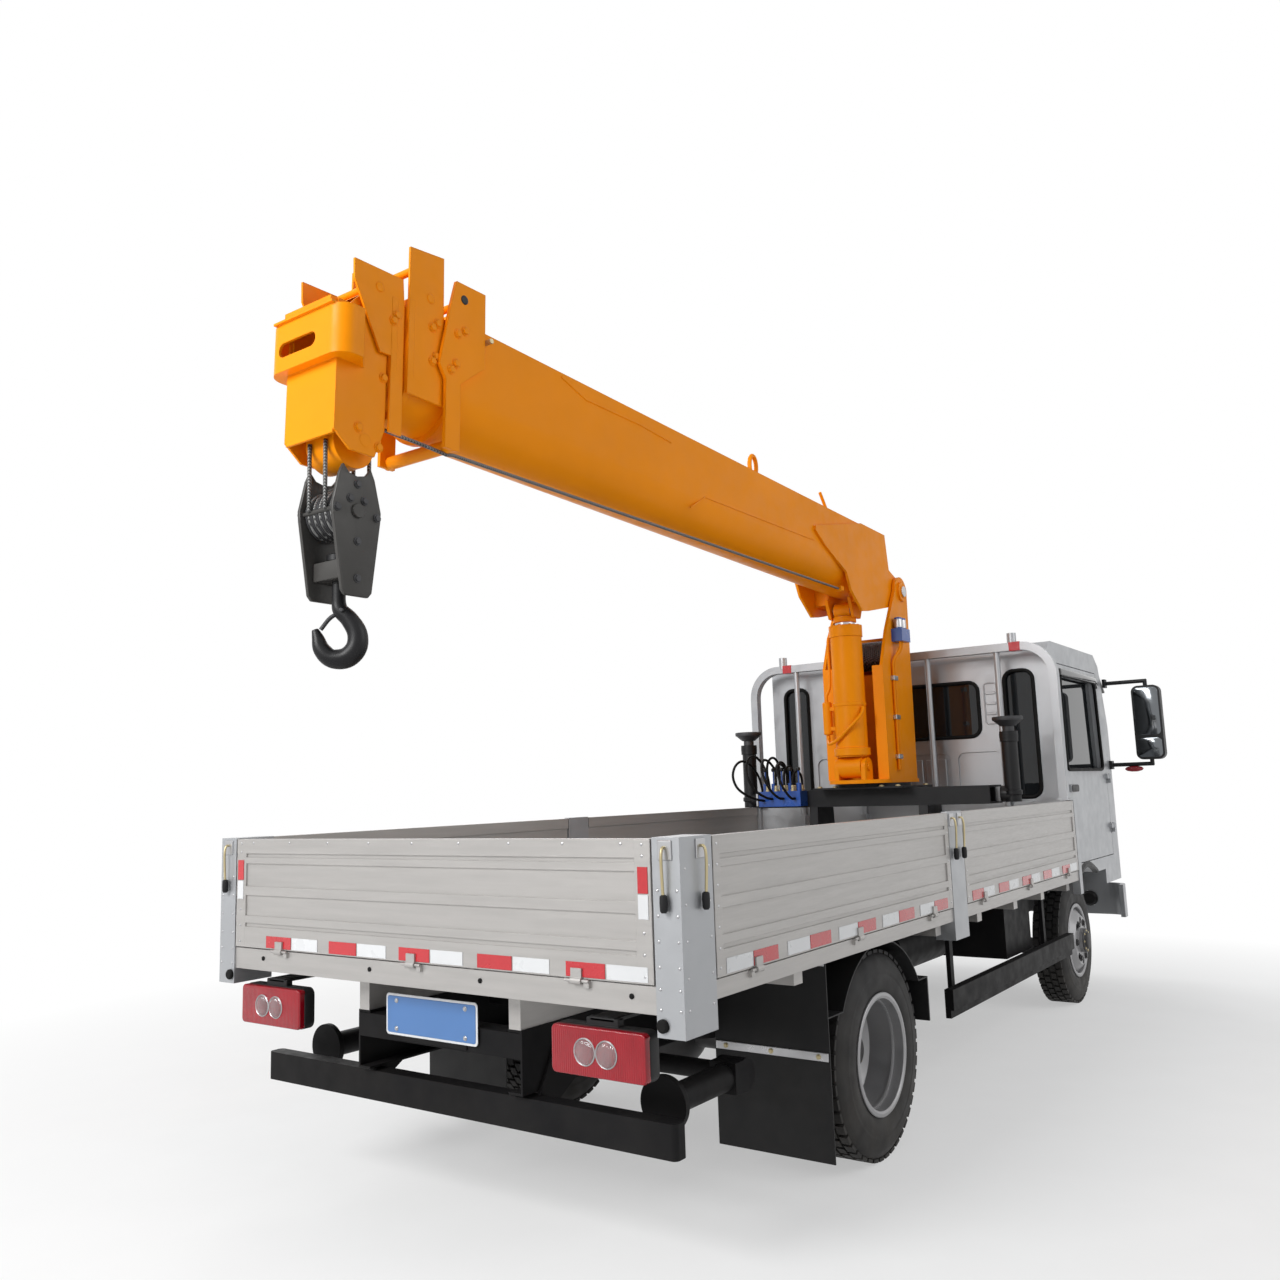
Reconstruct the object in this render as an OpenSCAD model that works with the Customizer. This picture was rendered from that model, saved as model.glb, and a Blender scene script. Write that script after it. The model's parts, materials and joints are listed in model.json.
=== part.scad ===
// Light flatbed truck with a telescopic crane behind its cab.
// Lengths are millimetres. X runs forward from the rear axle, Y to the left and Z up from the road.
// The finished model is moved along X so that its origin lies under the middle of its length.

/* [Truck] */
// Distance between the axles
wheelbase = 3360; // [3300:10:3420]
// From the front axle to the bumper's face
front_overhang = 1130; // [1100:5:1200]
// Outer radius of every tyre
tyre_r = 387.5; // [375:0.5:395]
// Width of one tyre
tyre_w = 195; // [180:1:205]
// Half the front track
front_track_y = 780; // [770:1:800]
// Sideways place of the outer rear tyre's middle
rear_outer_y = 890; // [880:1:900]
// Distance between the middles of twin tyres
twin_pitch = 250; // [235:1:260]
// Depth of a frame rail
rail_h = 200; // [180:5:220]
// Sideways place of a frame rail's middle
rail_y = 360; // [345:5:370]

/* [Load bed] */
// Width over the side panels
bed_w = 2170; // [2100:10:2250]
// From the rear axle back to the tailgate's outer face
rear_overhang = 1505; // [1480:5:1560]
// From the rear axle forward to the end of the side panels
bed_front = 2765; // [2760:5:2775]
// Height of the load floor above the road
floor_z = 878; // [868:1:890]
// Height of the drop-side panels
panel_h = 404; // [350:1:410]
// Thickness of the drop-side panels
panel_t = 30; // [25:1:40]
// Length of a rear corner post
post_l = 168; // [140:1:190]
// Width of a rear corner post
post_w = 95; // [80:1:110]
// Place of the middle posts, forward of the rear axle
mid_post_x = 690; // [640:5:710]
// Height of the tubular frame behind the cab
header_top = 2235; // [2150:5:2260]

/* [Cab] */
// Width of the cab
cab_w = 1940; // [1900:10:1980]
// Place of the cab's rear wall
cab_rear = 2845; // [2835:5:2860]
// Height of the cab's roof
cab_top = 2275; // [2200:5:2300]
// Thickness of the cab's walls and doors
cab_wall = 60; // [50:1:65]

/* [Crane] */
// Place of the slewing axis, forward of the rear axle
column_x = 2300; // [2280:5:2320]
// Height of the boom's hinge
boom_hinge_z = 2630; // [2600:5:2660]
// Boom angle above level as it is parked
boom_rest = 2; // [0:0.5:4]
// Width of the boom's outer section
boom_w = 320; // [300:2:330]
// Height of the boom's outer section
boom_h = 430; // [400:5:440]
// Wall of every boom section
boom_wall = 8; // [6:0.5:9]
// Length from the boom's hinge to the end of its outer section
boom_reach = 3932; // [3850:2:4000]
// Travel of each inner boom section
boom_stroke = 2400; // [2000:50:2500]
// Radius of the lift cylinder's barrel
lift_r = 95; // [85:1:100]
// Length of the lift cylinder between its eyes, closed
lift_closed = 955; // [945:1:960]
// Sideways travel of an outrigger beam
outrigger_travel = 600; // [400:10:620]
// Radius of an outrigger leg's tube
leg_r = 45; // [40:1:46]

/* [Hidden] */
$fn = 64;

// Clearances: pieces that pass, pieces that seat, and shafts that turn
pass_gap = 6;
seat_gap = 0.3;
shaft_gap = 0.05;

// Paint
orange = [0.87, 0.48, 0.03];
black = [0.06, 0.06, 0.06];
dark = [0.18, 0.18, 0.19];
silver = [0.80, 0.80, 0.82];
aluminium = [0.74, 0.74, 0.75];
steel = [0.55, 0.56, 0.58];
glass = [0.12, 0.14, 0.16];
red = [0.70, 0.03, 0.05];
blue = [0.05, 0.20, 0.55];

// Frame rails
rail_w = 60;
rail_t = 8;
rail_z = 480;
rail_top = rail_z + rail_h;
rail_rear = -1400;
rail_outer = rail_y + rail_w / 2;
rail_inner = rail_y - rail_w / 2;
front_x = wheelbase + front_overhang;
rail_front = front_x - 110;

// Load bed levels
bed_y = bed_w / 2;
bed_rear = -rear_overhang;
deck_t = 48;
deck_z = floor_z - deck_t;
bearer_h = 60;
bearer_z = deck_z - bearer_h;
sill_w = 45;
sill_h = 57;
sill_drop = 3;
panel_z = floor_z + 2;
panel_top = panel_z + panel_h;
post_z = 740;
mid_post_l = 170;
mid_post_t = 30;
mid_foot_w = 90;
drop_axis_out = 5;
drop_axis_z = panel_z - pass_gap;
tail_y = bed_y - post_w - pass_gap;
board_x = bed_front - panel_t;
header_x = board_x - 30;
header_r = 25;
header_y = bed_y - 50;

// Wheels
rim_r = 214;
hub_bore_front = 28;
hub_bore_rear = 45;
kingpin_y = front_track_y - 90;
kingpin_r = 15;
stub_y = front_track_y - 35;
rear_inner_y = rear_outer_y - twin_pitch;
twin_mid_y = (rear_outer_y + rear_inner_y) / 2;
axle_r = 60;

// Cab
cab_y = cab_w / 2;
cab_front = front_x - 45;
cab_floor_z = 930;
cab_hinge_x = front_x - 90;
cab_hinge_z = 560;
cab_hinge_r = 18;
arch_r = 470;
door_gap = 5;
door_front = cab_front - 335;
door_rear = cab_rear + 160;
door_hinge_r = 8;
door_knuckle_r = 14;
door_hinge_y = cab_y + door_knuckle_r + seat_gap;
door_hinge_zs = [1080, 1420];
belt_z = 1470;
glass_t = 6;

// Outriggers: one box across the truck holds two beams side by side
beam_w = 90;
beam_h = 80;
beam_wall = 8;
beam_gap = 5;
channel_w = beam_w + 2 * beam_gap;
channel_h = beam_h + 2 * beam_gap;
box_half_l = 760;
box_w = 2 * channel_w + 3 * beam_wall;
box_z = 1286;
box_top = box_z + channel_h + 2 * beam_wall;
beam_z = box_z + beam_wall + beam_gap + beam_h / 2;
beam_end = box_half_l + 20;
leg_plate_t = 24;
leg_plate_r = 47;
leg_pin_r = 25;
leg_y = beam_end + seat_gap + leg_plate_t + leg_r - 6;
leg_top = 1700;
leg_bottom = panel_top + 8;
leg_bore_r = 33;
leg_floor = leg_bottom + 20;
foot_top = leg_top + 85;
foot_t = 22;

// Crane column
deck_plate_t = 12;
ring_z = box_top + deck_plate_t;
ring_h = 20;
ring_r = 230;
plate_z = ring_z + ring_h + seat_gap;
base_t = 22;
column_z = plate_z + base_t;
cheek_t = 20;
cheek_gap = 360;
cheek_out = cheek_gap / 2 + cheek_t;
boom_hinge_x = column_x + 160;
boom_pin_r = 40;
cheek_boss_r = 95;
lift_x = column_x - 270;
lift_z = column_z + 78;
lift_pin_r = 26;
lift_eye_r = 45;
lift_rod_r = 60;
lift_barrel_l = 860;
drum_x = column_x + 90;
drum_z = 2225;
drum_r = 80;
drum_flange_r = 110;

// Boom: sections follow one outline, each set in from the one outside it
section_step = boom_wall + 6;
boom_floor = -85;
boom_mid = boom_floor + boom_w / 2;
boom_roof = boom_floor + boom_h;
ring_l = 25;
ring_t = 9;
second_l = 185;
third_l = 56;
head_l = 249;
second_front = boom_reach + pass_gap + second_l;
third_front = second_front + pass_gap + third_l;
head_front = third_front + pass_gap + head_l;
pad_l = 60;
boom_overlap = 880;
pad_t = section_step - boom_wall - seat_gap;
lift_eye = [424.5, -165.6];
lip_z = 203;
sheave_x = head_front - 170;
sheave_z = -205;
sheave_r = 82;
sheave_w = 140;
rope_r = 7;

// Overall place
tip_x = boom_hinge_x - head_front * cos(boom_rest) + lip_z * sin(boom_rest);
x_mid = (front_x + tip_x) / 2;

// Small helpers
module placed() translate([-x_mid, 0, 0]) children();
module both() {
    children();
    mirror([0, 1, 0]) children();
}
module side(left) if (left) children(); else mirror([0, 1, 0]) children();
module box(x, y, z) translate([x[0], y[0], z[0]]) cube([x[1] - x[0], y[1] - y[0], z[1] - z[0]]);
module rod_x(x, y, z, r) translate([x[0], y, z]) rotate([0, 90, 0]) cylinder(r = r, h = x[1] - x[0]);
module rod_y(x, y, z, r) translate([x, y[1], z]) rotate([90, 0, 0]) cylinder(r = r, h = y[1] - y[0]);
module rod_z(x, y, z, r) translate([x, y, z[0]]) cylinder(r = r, h = z[1] - z[0]);
module slab_y(y) translate([0, y[1], 0]) rotate([90, 0, 0]) linear_extrude(y[1] - y[0]) children();
module slab_x(x) translate([x[0], 0, 0]) rotate([90, 0, 90]) linear_extrude(x[1] - x[0]) children();
module slab_z(z) translate([0, 0, z[0]]) linear_extrude(z[1] - z[0]) children();
module wheel_turn(y) translate([0, y, tyre_r]) rotate([-90, 0, 0]) rotate_extrude($fn = 96) children();
module round_rect(x, y, r) {
    translate([x[0] + r, y[0]]) square([x[1] - x[0] - 2 * r, y[1] - y[0]]);
    translate([x[0], y[0] + r]) square([x[1] - x[0], y[1] - y[0] - 2 * r]);
    for (px = [x[0] + r, x[1] - r], py = [y[0] + r, y[1] - r]) translate([px, py]) circle(r);
}
// A strip between two points of a flat drawing, with round ends
module strip(a, b, r) {
    d = b - a;
    translate(a) rotate(atan2(d[1], d[0])) translate([0, -r]) square([norm(d), 2 * r]);
    translate(a) circle(r);
    translate(b) circle(r);
}

// Chassis

module chassis_frame() color(black) placed() {
    crossmembers = [rail_rear + 40, -700, 700, 1500, gearbox_rear - 100];
    both() difference() {
        box([rail_rear, rail_front], [rail_inner, rail_outer], [rail_z, rail_top]);
        box([rail_rear - 1, rail_front + 1], [rail_inner - 1, rail_outer - rail_t], [rail_z + rail_t, rail_top - rail_t]);
    }
    for (x = crossmembers) box([x - 40, x + 40], [-rail_outer + rail_t - 1, rail_outer - rail_t + 1], [rail_top - 90, rail_top - 10]);
    rod_y(rail_front - 30, [-rail_outer + rail_t - 1, rail_outer - rail_t + 1], rail_z + rail_h / 2, 45);
    // Cab tilt pins with their brackets on the rails' noses
    both() {
        slab_y([rail_outer - rail_t, rail_outer]) {
            translate([rail_front - 100, cab_hinge_z - 35]) square([cab_hinge_x - rail_front + 100, 70]);
            translate([cab_hinge_x, cab_hinge_z]) circle(35);
        }
        rod_y(cab_hinge_x, [rail_outer - rail_t, rail_outer + 40], cab_hinge_z, cab_hinge_r);
    }
    // Arms that carry the rear jacks
    both() {
        rod_y(rear_jack_x, [rail_outer - rail_t, rear_jack_y - rear_jack_eye - seat_gap], rear_jack_z, 32);
        rod_y(rear_jack_x, [rear_jack_y - rear_jack_eye - seat_gap - 1, rear_jack_y + 20], rear_jack_z, rear_jack_pin);
        box([rear_jack_x - 60, rear_jack_x + 60], [rail_outer - rail_t, rail_outer + 30], [rail_z - 60, rail_z + 60]);
    }
    // Brackets under the bed's mudguards
    both() for (x = [-flap_x, flap_x])
        box([x - 25, x + 25], [rail_outer - rail_t, rear_outer_y], [mudguard_low + 5, mudguard_low + 45]);
    // Rear cab mounts
    both() box([cab_rear + 60, cab_rear + 160], [rail_inner + 10, rail_outer - 10], [rail_top, cab_mount_z]);
}
cab_mount_z = 800;

module running_gear() color(dark) placed() {
    spring_half = 500;
    // Rear axle with its differential and spindles
    rod_y(0, [-rear_inner_y + 80, rear_inner_y - 80], tyre_r, axle_r);
    both() rod_y(0, [0, twin_mid_y + 45], tyre_r, hub_bore_rear);
    translate([0, 0, tyre_r]) sphere(r = 165);
    rod_x([0, 230], 0, tyre_r, 70);
    // Front axle beam with its king pin eyes
    translate([wheelbase, 0, 0]) {
        box([-45, 45], [-kingpin_y + 20, kingpin_y - 20], [tyre_r - 95, tyre_r - 5]);
        both() difference() {
            rod_z(0, kingpin_y, [tyre_r - 95, tyre_r + 45], 42);
            rod_z(0, kingpin_y, [tyre_r - 96, tyre_r + 46], kingpin_r + shaft_gap);
        }
    }
    // Leaf springs, each a stack of arcs with hangers up to the rails
    both() {
        spring(wheelbase, rail_y, tyre_r - 5, spring_half, rail_z);
        spring(0, rail_outer + 45, tyre_r + axle_r - 4, spring_half + 60, rail_z + 40);
        for (x = [-spring_half - 60, spring_half + 60])
            box([x - 30, x + 30], [rail_outer, rail_outer + 80], [rail_z + 20, rail_z + 90]);
        for (x = [-spring_half, spring_half])
            box([wheelbase + x - 30, wheelbase + x + 30], [rail_y - 30, rail_y + 30], [rail_z - 45, rail_z]);
    }
    // Propeller shaft to the gearbox
    difference() {
        translate([225, 0, tyre_r]) rotate([0, 90 - atan2(gearbox_z - tyre_r, gearbox_rear - 225), 0])
            cylinder(r = 45, h = norm([gearbox_rear - 225 + 8, gearbox_z - tyre_r]));
        box([gearbox_rear - seat_gap, gearbox_rear + 60], [-60, 60], [gearbox_z - 80, gearbox_z + 80]);
    }
}
gearbox_rear = wheelbase - 660;
gearbox_z = 520;

// Three leaves bent between an axle seat and two hangers
module spring(x, y, seat, half, hang) {
    rise = hang - 20 - seat;
    bend = (half * half + rise * rise) / (2 * rise);
    slab_y([y - 35, y + 35]) intersection() {
        translate([x, seat + bend]) difference() {
            circle(bend, $fn = 256);
            circle(bend - 36, $fn = 256);
        }
        translate([x - half, seat - 1]) square([2 * half, rise + 20]);
    }
}

module power_unit() color(dark) placed() {
    engine = [wheelbase - 360, wheelbase + 540];
    engine_y = 290;
    box(engine, [-engine_y, engine_y], [rail_z - 60, 860]);
    box([gearbox_rear + 60, engine[0]], [-170, 170], [rail_z, 720]);
    rod_x([gearbox_rear, gearbox_rear + 60], 0, gearbox_z, 90);
    both() for (x = engine + [100, -100])
        box([x - 40, x + 40], [engine_y, rail_outer - rail_t], [rail_z + 60, rail_z + 100]);
}

module chassis_boxes() color(black) placed() {
    // Fuel tank on the left, battery box and air tank on the right
    translate([1750, 0, 0]) slab_x([-450, 450]) round_rect([rail_outer + 10, 900], [430, 760], 60);
    for (x = [1450, 2050]) box([x - 25, x + 25], [rail_outer, rail_outer + 60], [rail_z, rail_top]);
    mirror([0, 1, 0]) {
        box([1900, 2350], [rail_outer, 880], [470, 760]);
        rod_x([1000, 1700], rail_outer + 150, 610, 125);
        for (x = [1150, 1550]) box([x - 20, x + 20], [rail_outer, rail_outer + 60], [560, 660]);
    }
}

// Load bed

module bed_floor() color(aluminium) placed() {
    bearers = [-1300, -760, 520, 1050, 1600, 2080, 2600];
    difference() {
        union() {
            box([bed_rear + panel_t, board_x], [-bed_y + sill_w, bed_y - sill_w], [deck_z, floor_z]);
            for (x = bearers) box([x - 30, x + 30], [-bed_y + sill_w, bed_y - sill_w], [bearer_z, deck_z]);
            both() box([rail_rear, board_x - 40], [rail_y - 25, rail_y + 25], [rail_top, deck_z]);
        }
        // Notches round the rear posts and an opening for the crane's pedestal
        both() box([bed_rear, bed_rear + post_l], [bed_y - post_w, bed_y], [deck_z - 1, floor_z + 1]);
        box([column_x - 180, column_x + 180], [-pedestal_y, pedestal_y], [rail_top - 1, floor_z + 1]);
    }
    // Side and rear sills that the panels hinge on
    both() difference() {
        box([bed_rear + post_l, bed_front - 60], [bed_y - sill_w, bed_y - pass_gap], [floor_z - sill_h, floor_z - sill_drop]);
        box([mid_post_x - mid_post_l / 2, mid_post_x + mid_post_l / 2], [bed_y - mid_post_t, bed_y], [floor_z - sill_h - 1, floor_z + 1]);
    }
    box([bed_rear + pass_gap, bed_rear + panel_t], [-tail_y - pass_gap, tail_y + pass_gap], [floor_z - 80, floor_z - sill_drop]);
    // Hinge pins of the panels
    for (x = hinge_xs) both() rod_x([x - 45, x + 45], bed_y + drop_axis_out, drop_axis_z, hinge_pin_r);
    for (x = hinge_xs) both() box([x - 45, x - 25], [bed_y - pass_gap - 1, bed_y + drop_axis_out], [drop_axis_z - 20, drop_axis_z]);
    for (y = tail_hinge_ys) {
        rod_y(bed_rear - drop_axis_out, [y - 45, y + 45], drop_axis_z, hinge_pin_r);
        box([bed_rear - drop_axis_out, bed_rear + 7], [y - 45, y - 25], [drop_axis_z - 20, drop_axis_z]);
    }
}
pedestal_y = rail_outer + 50;
hinge_pin_r = 5;
rear_panel = [bed_rear + post_l + pass_gap, mid_post_x - mid_post_l / 2 - pass_gap];
front_panel = [mid_post_x + mid_post_l / 2 + pass_gap, bed_front - 65 - pass_gap];
hinge_xs = [
    for (p = [rear_panel, front_panel], k = [0.12, 0.5, 0.88]) p[0] + k * (p[1] - p[0])
];
tail_hinge_ys = [-tail_y * 0.72, 0, tail_y * 0.72];

module bed_posts() color(silver) placed() both() {
    mid_post = [mid_post_x - mid_post_l / 2, mid_post_x + mid_post_l / 2];
    box([bed_rear, bed_rear + post_l], [bed_y - post_w, bed_y], [post_z, panel_top + 4]);
    box(mid_post, [bed_y - mid_post_t, bed_y], [post_z, panel_top + 4]);
    box(mid_post, [bed_y - mid_foot_w, bed_y], [post_z, floor_z - sill_h]);
    box([bed_front - 60, bed_front], [bed_y - sill_w, bed_y], [post_z, panel_top + 4]);
}

module header_frame() color(silver) placed() {
    bend_r = 215;
    foot_z = panel_top + 4;
    span = header_y + header_r;
    box([board_x, bed_front], [-bed_y + sill_w, bed_y - sill_w], [deck_z, panel_top]);
    slab_x([header_x - header_r, board_x]) difference() {
        round_rect([-span, span], [foot_z - bend_r, header_top + header_r], bend_r);
        round_rect([2 * header_r - span, span - 2 * header_r], [foot_z - bend_r, header_top - header_r], bend_r - 2 * header_r);
        translate([-span - 1, foot_z - bend_r - 1]) square([2 * span + 2, bend_r + 1]);
    }
    both() {
        box([header_x - 35, bed_front], [header_y - 35, bed_y], [foot_z, foot_z + 10]);
        for (y = [250, 700]) {
            rod_z(header_x, y, [panel_top - 120, header_top], 18);
            box([header_x - 18, board_x], [y - 20, y + 20], [panel_top - 120, panel_top - 60]);
        }
        rod_z(header_x, 800, [header_top + 5, header_top + 85], 28);
    }
}

module tail_lamps() color(red) placed() both() {
    difference() {
        box([bed_rear + 5, bed_rear + 75], [tail_lamp_y - 175, tail_lamp_y + 175], [600, 745]);
        for (y = [-55, 55]) rod_x([bed_rear + 4, bed_rear + 10], tail_lamp_y + y, 672, 48);
    }
    box([bed_rear + 30, bed_rear + 60], [tail_lamp_y - 60, tail_lamp_y + 60], [745, bearer_z]);
    box([bed_rear + 30, -1270], [tail_lamp_y - 60, tail_lamp_y + 60], [bearer_z - 12, bearer_z]);
}
tail_lamp_y = 770;

module guard_bars() color(black) placed() {
    bar_x = -1373;
    bar_y = 949;
    guard = [830, wheelbase - 460];
    // Rear underrun bar on two flat struts
    slab_z([368, 469]) round_rect([bar_x, bar_x + 60], [-bar_y, bar_y], 18);
    both() slab_y([rail_outer, rail_outer + 12]) polygon([
        [bar_x + 40, 469], [bar_x + 40, 380], [-1130, rail_z + 20], [-1130, rail_z + 150], [-1240, rail_z + 150]
    ]);
    // Side guards between the axles
    both() {
        box(guard, [930, 970], [400, 490]);
        box(guard, [930, 955], [365, 400]);
        for (x = guard + [120, -450]) {
            box([x - 20, x + 20], [910, 930], [380, bearer_z]);
            box([x - 20, x + 20], [910, 970], [bearer_z, deck_z]);
        }
    }
}

mudguard_r = 425;
mudguard_low = 605;
mudguard_y = [rear_inner_y - tyre_w / 2 - 10, rear_outer_y + tyre_w / 2 + 15];
flap_x = mudguard_r + 30;
module mudguards() color(black) placed() both() {
    slab_y(mudguard_y) translate([0, tyre_r]) difference() {
        circle(mudguard_r);
        circle(mudguard_r - 5);
        translate([-600, -600]) square([1200, 600 + mudguard_low - tyre_r]);
    }
    arch_end = sqrt(pow(mudguard_r, 2) - pow(mudguard_low - tyre_r, 2));
    // Shelves at the arch's ends, the short front flap and the long rear one behind its bracket
    rear_flap = -flap_x - 25;
    box([arch_end - 6, flap_x + 5], mudguard_y, [mudguard_low, mudguard_low + 5]);
    box([rear_flap - 5, 6 - arch_end], mudguard_y, [mudguard_low, mudguard_low + 5]);
    box([flap_x - 5, flap_x + 5], mudguard_y, [430, mudguard_low + 5]);
    box([rear_flap - 5, rear_flap], mudguard_y, [120, deck_z]);
}

module front_bumper() color(silver) placed() {
    bumper = [430, 655];
    difference() {
        slab_z(bumper) round_rect([front_x - 420, front_x], [-cab_y, cab_y], 130);
        slab_z(bumper + [-1, 1]) round_rect([front_x - 500, front_x - 30], [-cab_y + 30, cab_y - 30], 100);
        box([front_x - 501, front_x - 190], [-cab_y - 1, cab_y + 1], bumper + [-1, 1]);
        both() rod_x([front_x - 60, front_x + 1], 700, 540, 55);
        box([front_x - 60, front_x + 1], [-300, 300], [470, 540]);
    }
    both() box([rail_front, front_x - 20], [rail_inner, rail_inner + 30], [rail_z, rail_z + 40]);
}

// Cab

// Outline of the cab seen from the side, set in by d
module cab_outline(d) {
    nose = cab_front - d;
    r = 90 - d;
    polygon([
        [cab_rear + d, 800], [cab_rear + d, cab_top - 90], [cab_rear + 90, cab_top - d],
        [cab_front - 430, cab_top - d], [cab_front - 315 - d, cab_top - 75 - d], [cab_front - 60 - d, belt_z - 30],
        [nose, belt_z - 270], [nose, 705], [nose - 600 + d, 705], [nose - 600 + d, 800]
    ]);
    translate([cab_rear + 90, cab_top - 90]) circle(r);
}
module cab_plan(d) {
    r = 190 - d;
    round_rect([cab_rear - 300 + d, cab_front - d], [-cab_y + d, cab_y - d], r);
}
// Door opening seen from the side, set in by d
module door_outline(d) {
    polygon([
        [door_rear + d, 880 + d], [door_front - d, 880 + d], [door_front - d, belt_z],
        [cab_front - 430 - d, cab_top - 130 - d], [door_rear + d, cab_top - 130 - d]
    ]);
}
module door_window() {
    polygon([
        [door_rear + 80, belt_z], [door_front - 90, belt_z],
        [cab_front - 480, cab_top - 200], [door_rear + 80, cab_top - 200]
    ]);
}
// The windscreen's slanted slab, along X by d
windscreen = [[cab_front - 315, cab_top - 75], [cab_front - 60, belt_z - 30]];
rear_window = [[-520, 520], [1700, 2050]];
corner_window = [[690, 870], [1310, 2100]];
pressed_ys = [[30, 310], [360, 640]];

module cab_shell() color(silver) placed() {
    difference() {
        intersection() {
            slab_y([-cab_y, cab_y]) cab_outline(0);
            slab_z([0, cab_top + 1]) cab_plan(0);
        }
        intersection() {
            slab_y([-cab_y + cab_wall, cab_y - cab_wall]) cab_outline(cab_wall);
            slab_z([cab_floor_z, cab_top]) cab_plan(cab_wall);
        }
        // Room below the floor for the engine, the frame and the wheels
        box([cab_rear - 1, cab_front - 60], [-560, 560], [0, cab_floor_z - 40]);
        both() slab_y([420, cab_y + 1]) translate([wheelbase, tyre_r]) circle(arch_r);
        // Door openings
        both() slab_y([cab_y - cab_wall - 1, cab_y + 1]) door_outline(0);
        // Windscreen and rear windows
        slab_y([-cab_y + 150, cab_y - 150]) strip(windscreen[0] + [16, -70], windscreen[1] + [-10, 60], 100);
        slab_x([cab_rear - 1, cab_rear + cab_wall + 1]) round_rect(rear_window[0], rear_window[1], 60);
        both() slab_x([cab_rear - 1, cab_rear + cab_wall + 1]) round_rect(corner_window[0], corner_window[1], 60);
        // Pressed panels of the rear wall
        both() for (y = pressed_ys) slab_x([cab_rear - 1, cab_rear + 12]) round_rect(y, [1180, 1600], 45);
    }
    // Tilt hinge arms
    both() slab_y([rail_outer + seat_gap, rail_outer + 30]) difference() {
        union() {
            strip([cab_hinge_x, cab_hinge_z], [cab_hinge_x - 200, cab_floor_z - 55], 25);
            translate([cab_hinge_x, cab_hinge_z]) circle(32);
        }
        translate([cab_hinge_x, cab_hinge_z]) circle(cab_hinge_r + shaft_gap);
    }
    // Rear mount pads
    both() box([cab_rear + 60, cab_rear + 160], [rail_inner + 10, rail_outer - 10], [cab_mount_z + seat_gap, cab_floor_z - 40]);
    // Door hinge lugs and pins
    both() for (z = door_hinge_zs) {
        box([door_front + 2, door_front + 40], [cab_y - 30, cab_y + 24], [z - 45, z - 15 - seat_gap]);
        rod_z(door_front + 10, door_hinge_y, [z - 45, z + 20], door_hinge_r);
    }
}

module cab_glass() color(glass) placed() {
    inset = 0.3;
    slab_y([-cab_y + 150 + inset, cab_y - 150 - inset]) intersection() {
        strip(windscreen[0] + [16, -70], windscreen[1] + [-10, 60], 100 - inset);
        difference() {
            cab_outline(18);
            cab_outline(18 + glass_t);
        }
    }
    slab_x([cab_rear + 15, cab_rear + 15 + glass_t]) {
        round_rect(rear_window[0] + [inset, -inset], rear_window[1] + [inset, -inset], 60 - inset);
        for (s = [-1, 1]) scale([s, 1]) round_rect(corner_window[0] + [inset, -inset], corner_window[1] + [inset, -inset], 60 - inset);
    }
}

module cab_interior() color(dark) placed() {
    // Three seats on a box, dashboard, steering column and wheel
    box([cab_rear + 130, cab_rear + 640], [-800, 800], [cab_floor_z, cab_floor_z + 120]);
    for (y = [-540, 0, 540]) {
        slab_y([y - 240, y + 240]) {
            round_rect([cab_rear + 130, cab_rear + 630], [cab_floor_z + 100, cab_floor_z + 260], 50);
            strip([cab_rear + 200, cab_floor_z + 250], [cab_rear + 130, cab_floor_z + 800], 55);
        }
    }
    slab_y([-cab_y + cab_wall + 60, cab_y - cab_wall - 60]) {
        round_rect([cab_front - 420, cab_front - 110], [belt_z - 320, belt_z - 60], 60);
    }
    box([cab_front - 300, cab_front - 110], [-300, 300], [cab_floor_z, belt_z - 300]);
    translate([cab_front - 540, 540, belt_z - 80]) rotate([0, -35, 0]) {
        rotate_extrude() translate([200, 0]) circle(16);
        for (a = [90, 210, 330]) rotate([0, 0, a]) translate([0, -14, -8]) cube([200, 28, 16]);
        cylinder(r = 55, h = 40, center = true);
        rod_z(0, 0, [-260, 0], 30);
    }
}

module mirrors() color(black) placed() both() {
    arm_x = cab_front - 215;
    mirror_y = [cab_y + 190, cab_y + 375];
    mirror_z = [1530, 2050];
    translate([arm_x - 20, 0, 0]) slab_x([0, 75]) round_rect(mirror_y, mirror_z, 45);
    for (z = [1500, 2085]) rod_y(arm_x + 20, [cab_y + 10, cab_y + 290], z, 14);
    rod_z(arm_x + 20, cab_y + 280, [1490, 2095], 14);
    translate([arm_x + 20, 0, 0]) {
        box([-30, 30], [cab_y, cab_y + 20], [2055, 2115]);
        box([-30, 30], [cab_y, cab_y + 20], [1470, 1530]);
    }
}

module front_lamps() color([0.85, 0.87, 0.9]) placed() {
    both() slab_x([cab_front, cab_front + 22]) round_rect([520, 780], [760, 930], 40);
    for (k = [0:3]) slab_x([cab_front, cab_front + 16]) round_rect([-460, 460], [800 + 75 * k, 840 + 75 * k], 15);
}

// Sun visor seated on the roof's front edge, over the windscreen
module roof_visor() color(black) placed() {
    visor_y = cab_y - 25;
    reach = 325;
    fall = 195;
    visor_t = 20;
    root = [cab_front - 370, cab_top - 35];
    middle = root + [0.54 * reach, -0.42 * fall];
    tip = root + [reach, -fall];
    slab_y([-visor_y, visor_y]) difference() {
        polygon([root, middle, tip, tip - [4, visor_t], middle - [7, visor_t + 4], root + [30, -45]]);
        cab_outline(-seat_gap);
    }
}

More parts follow.
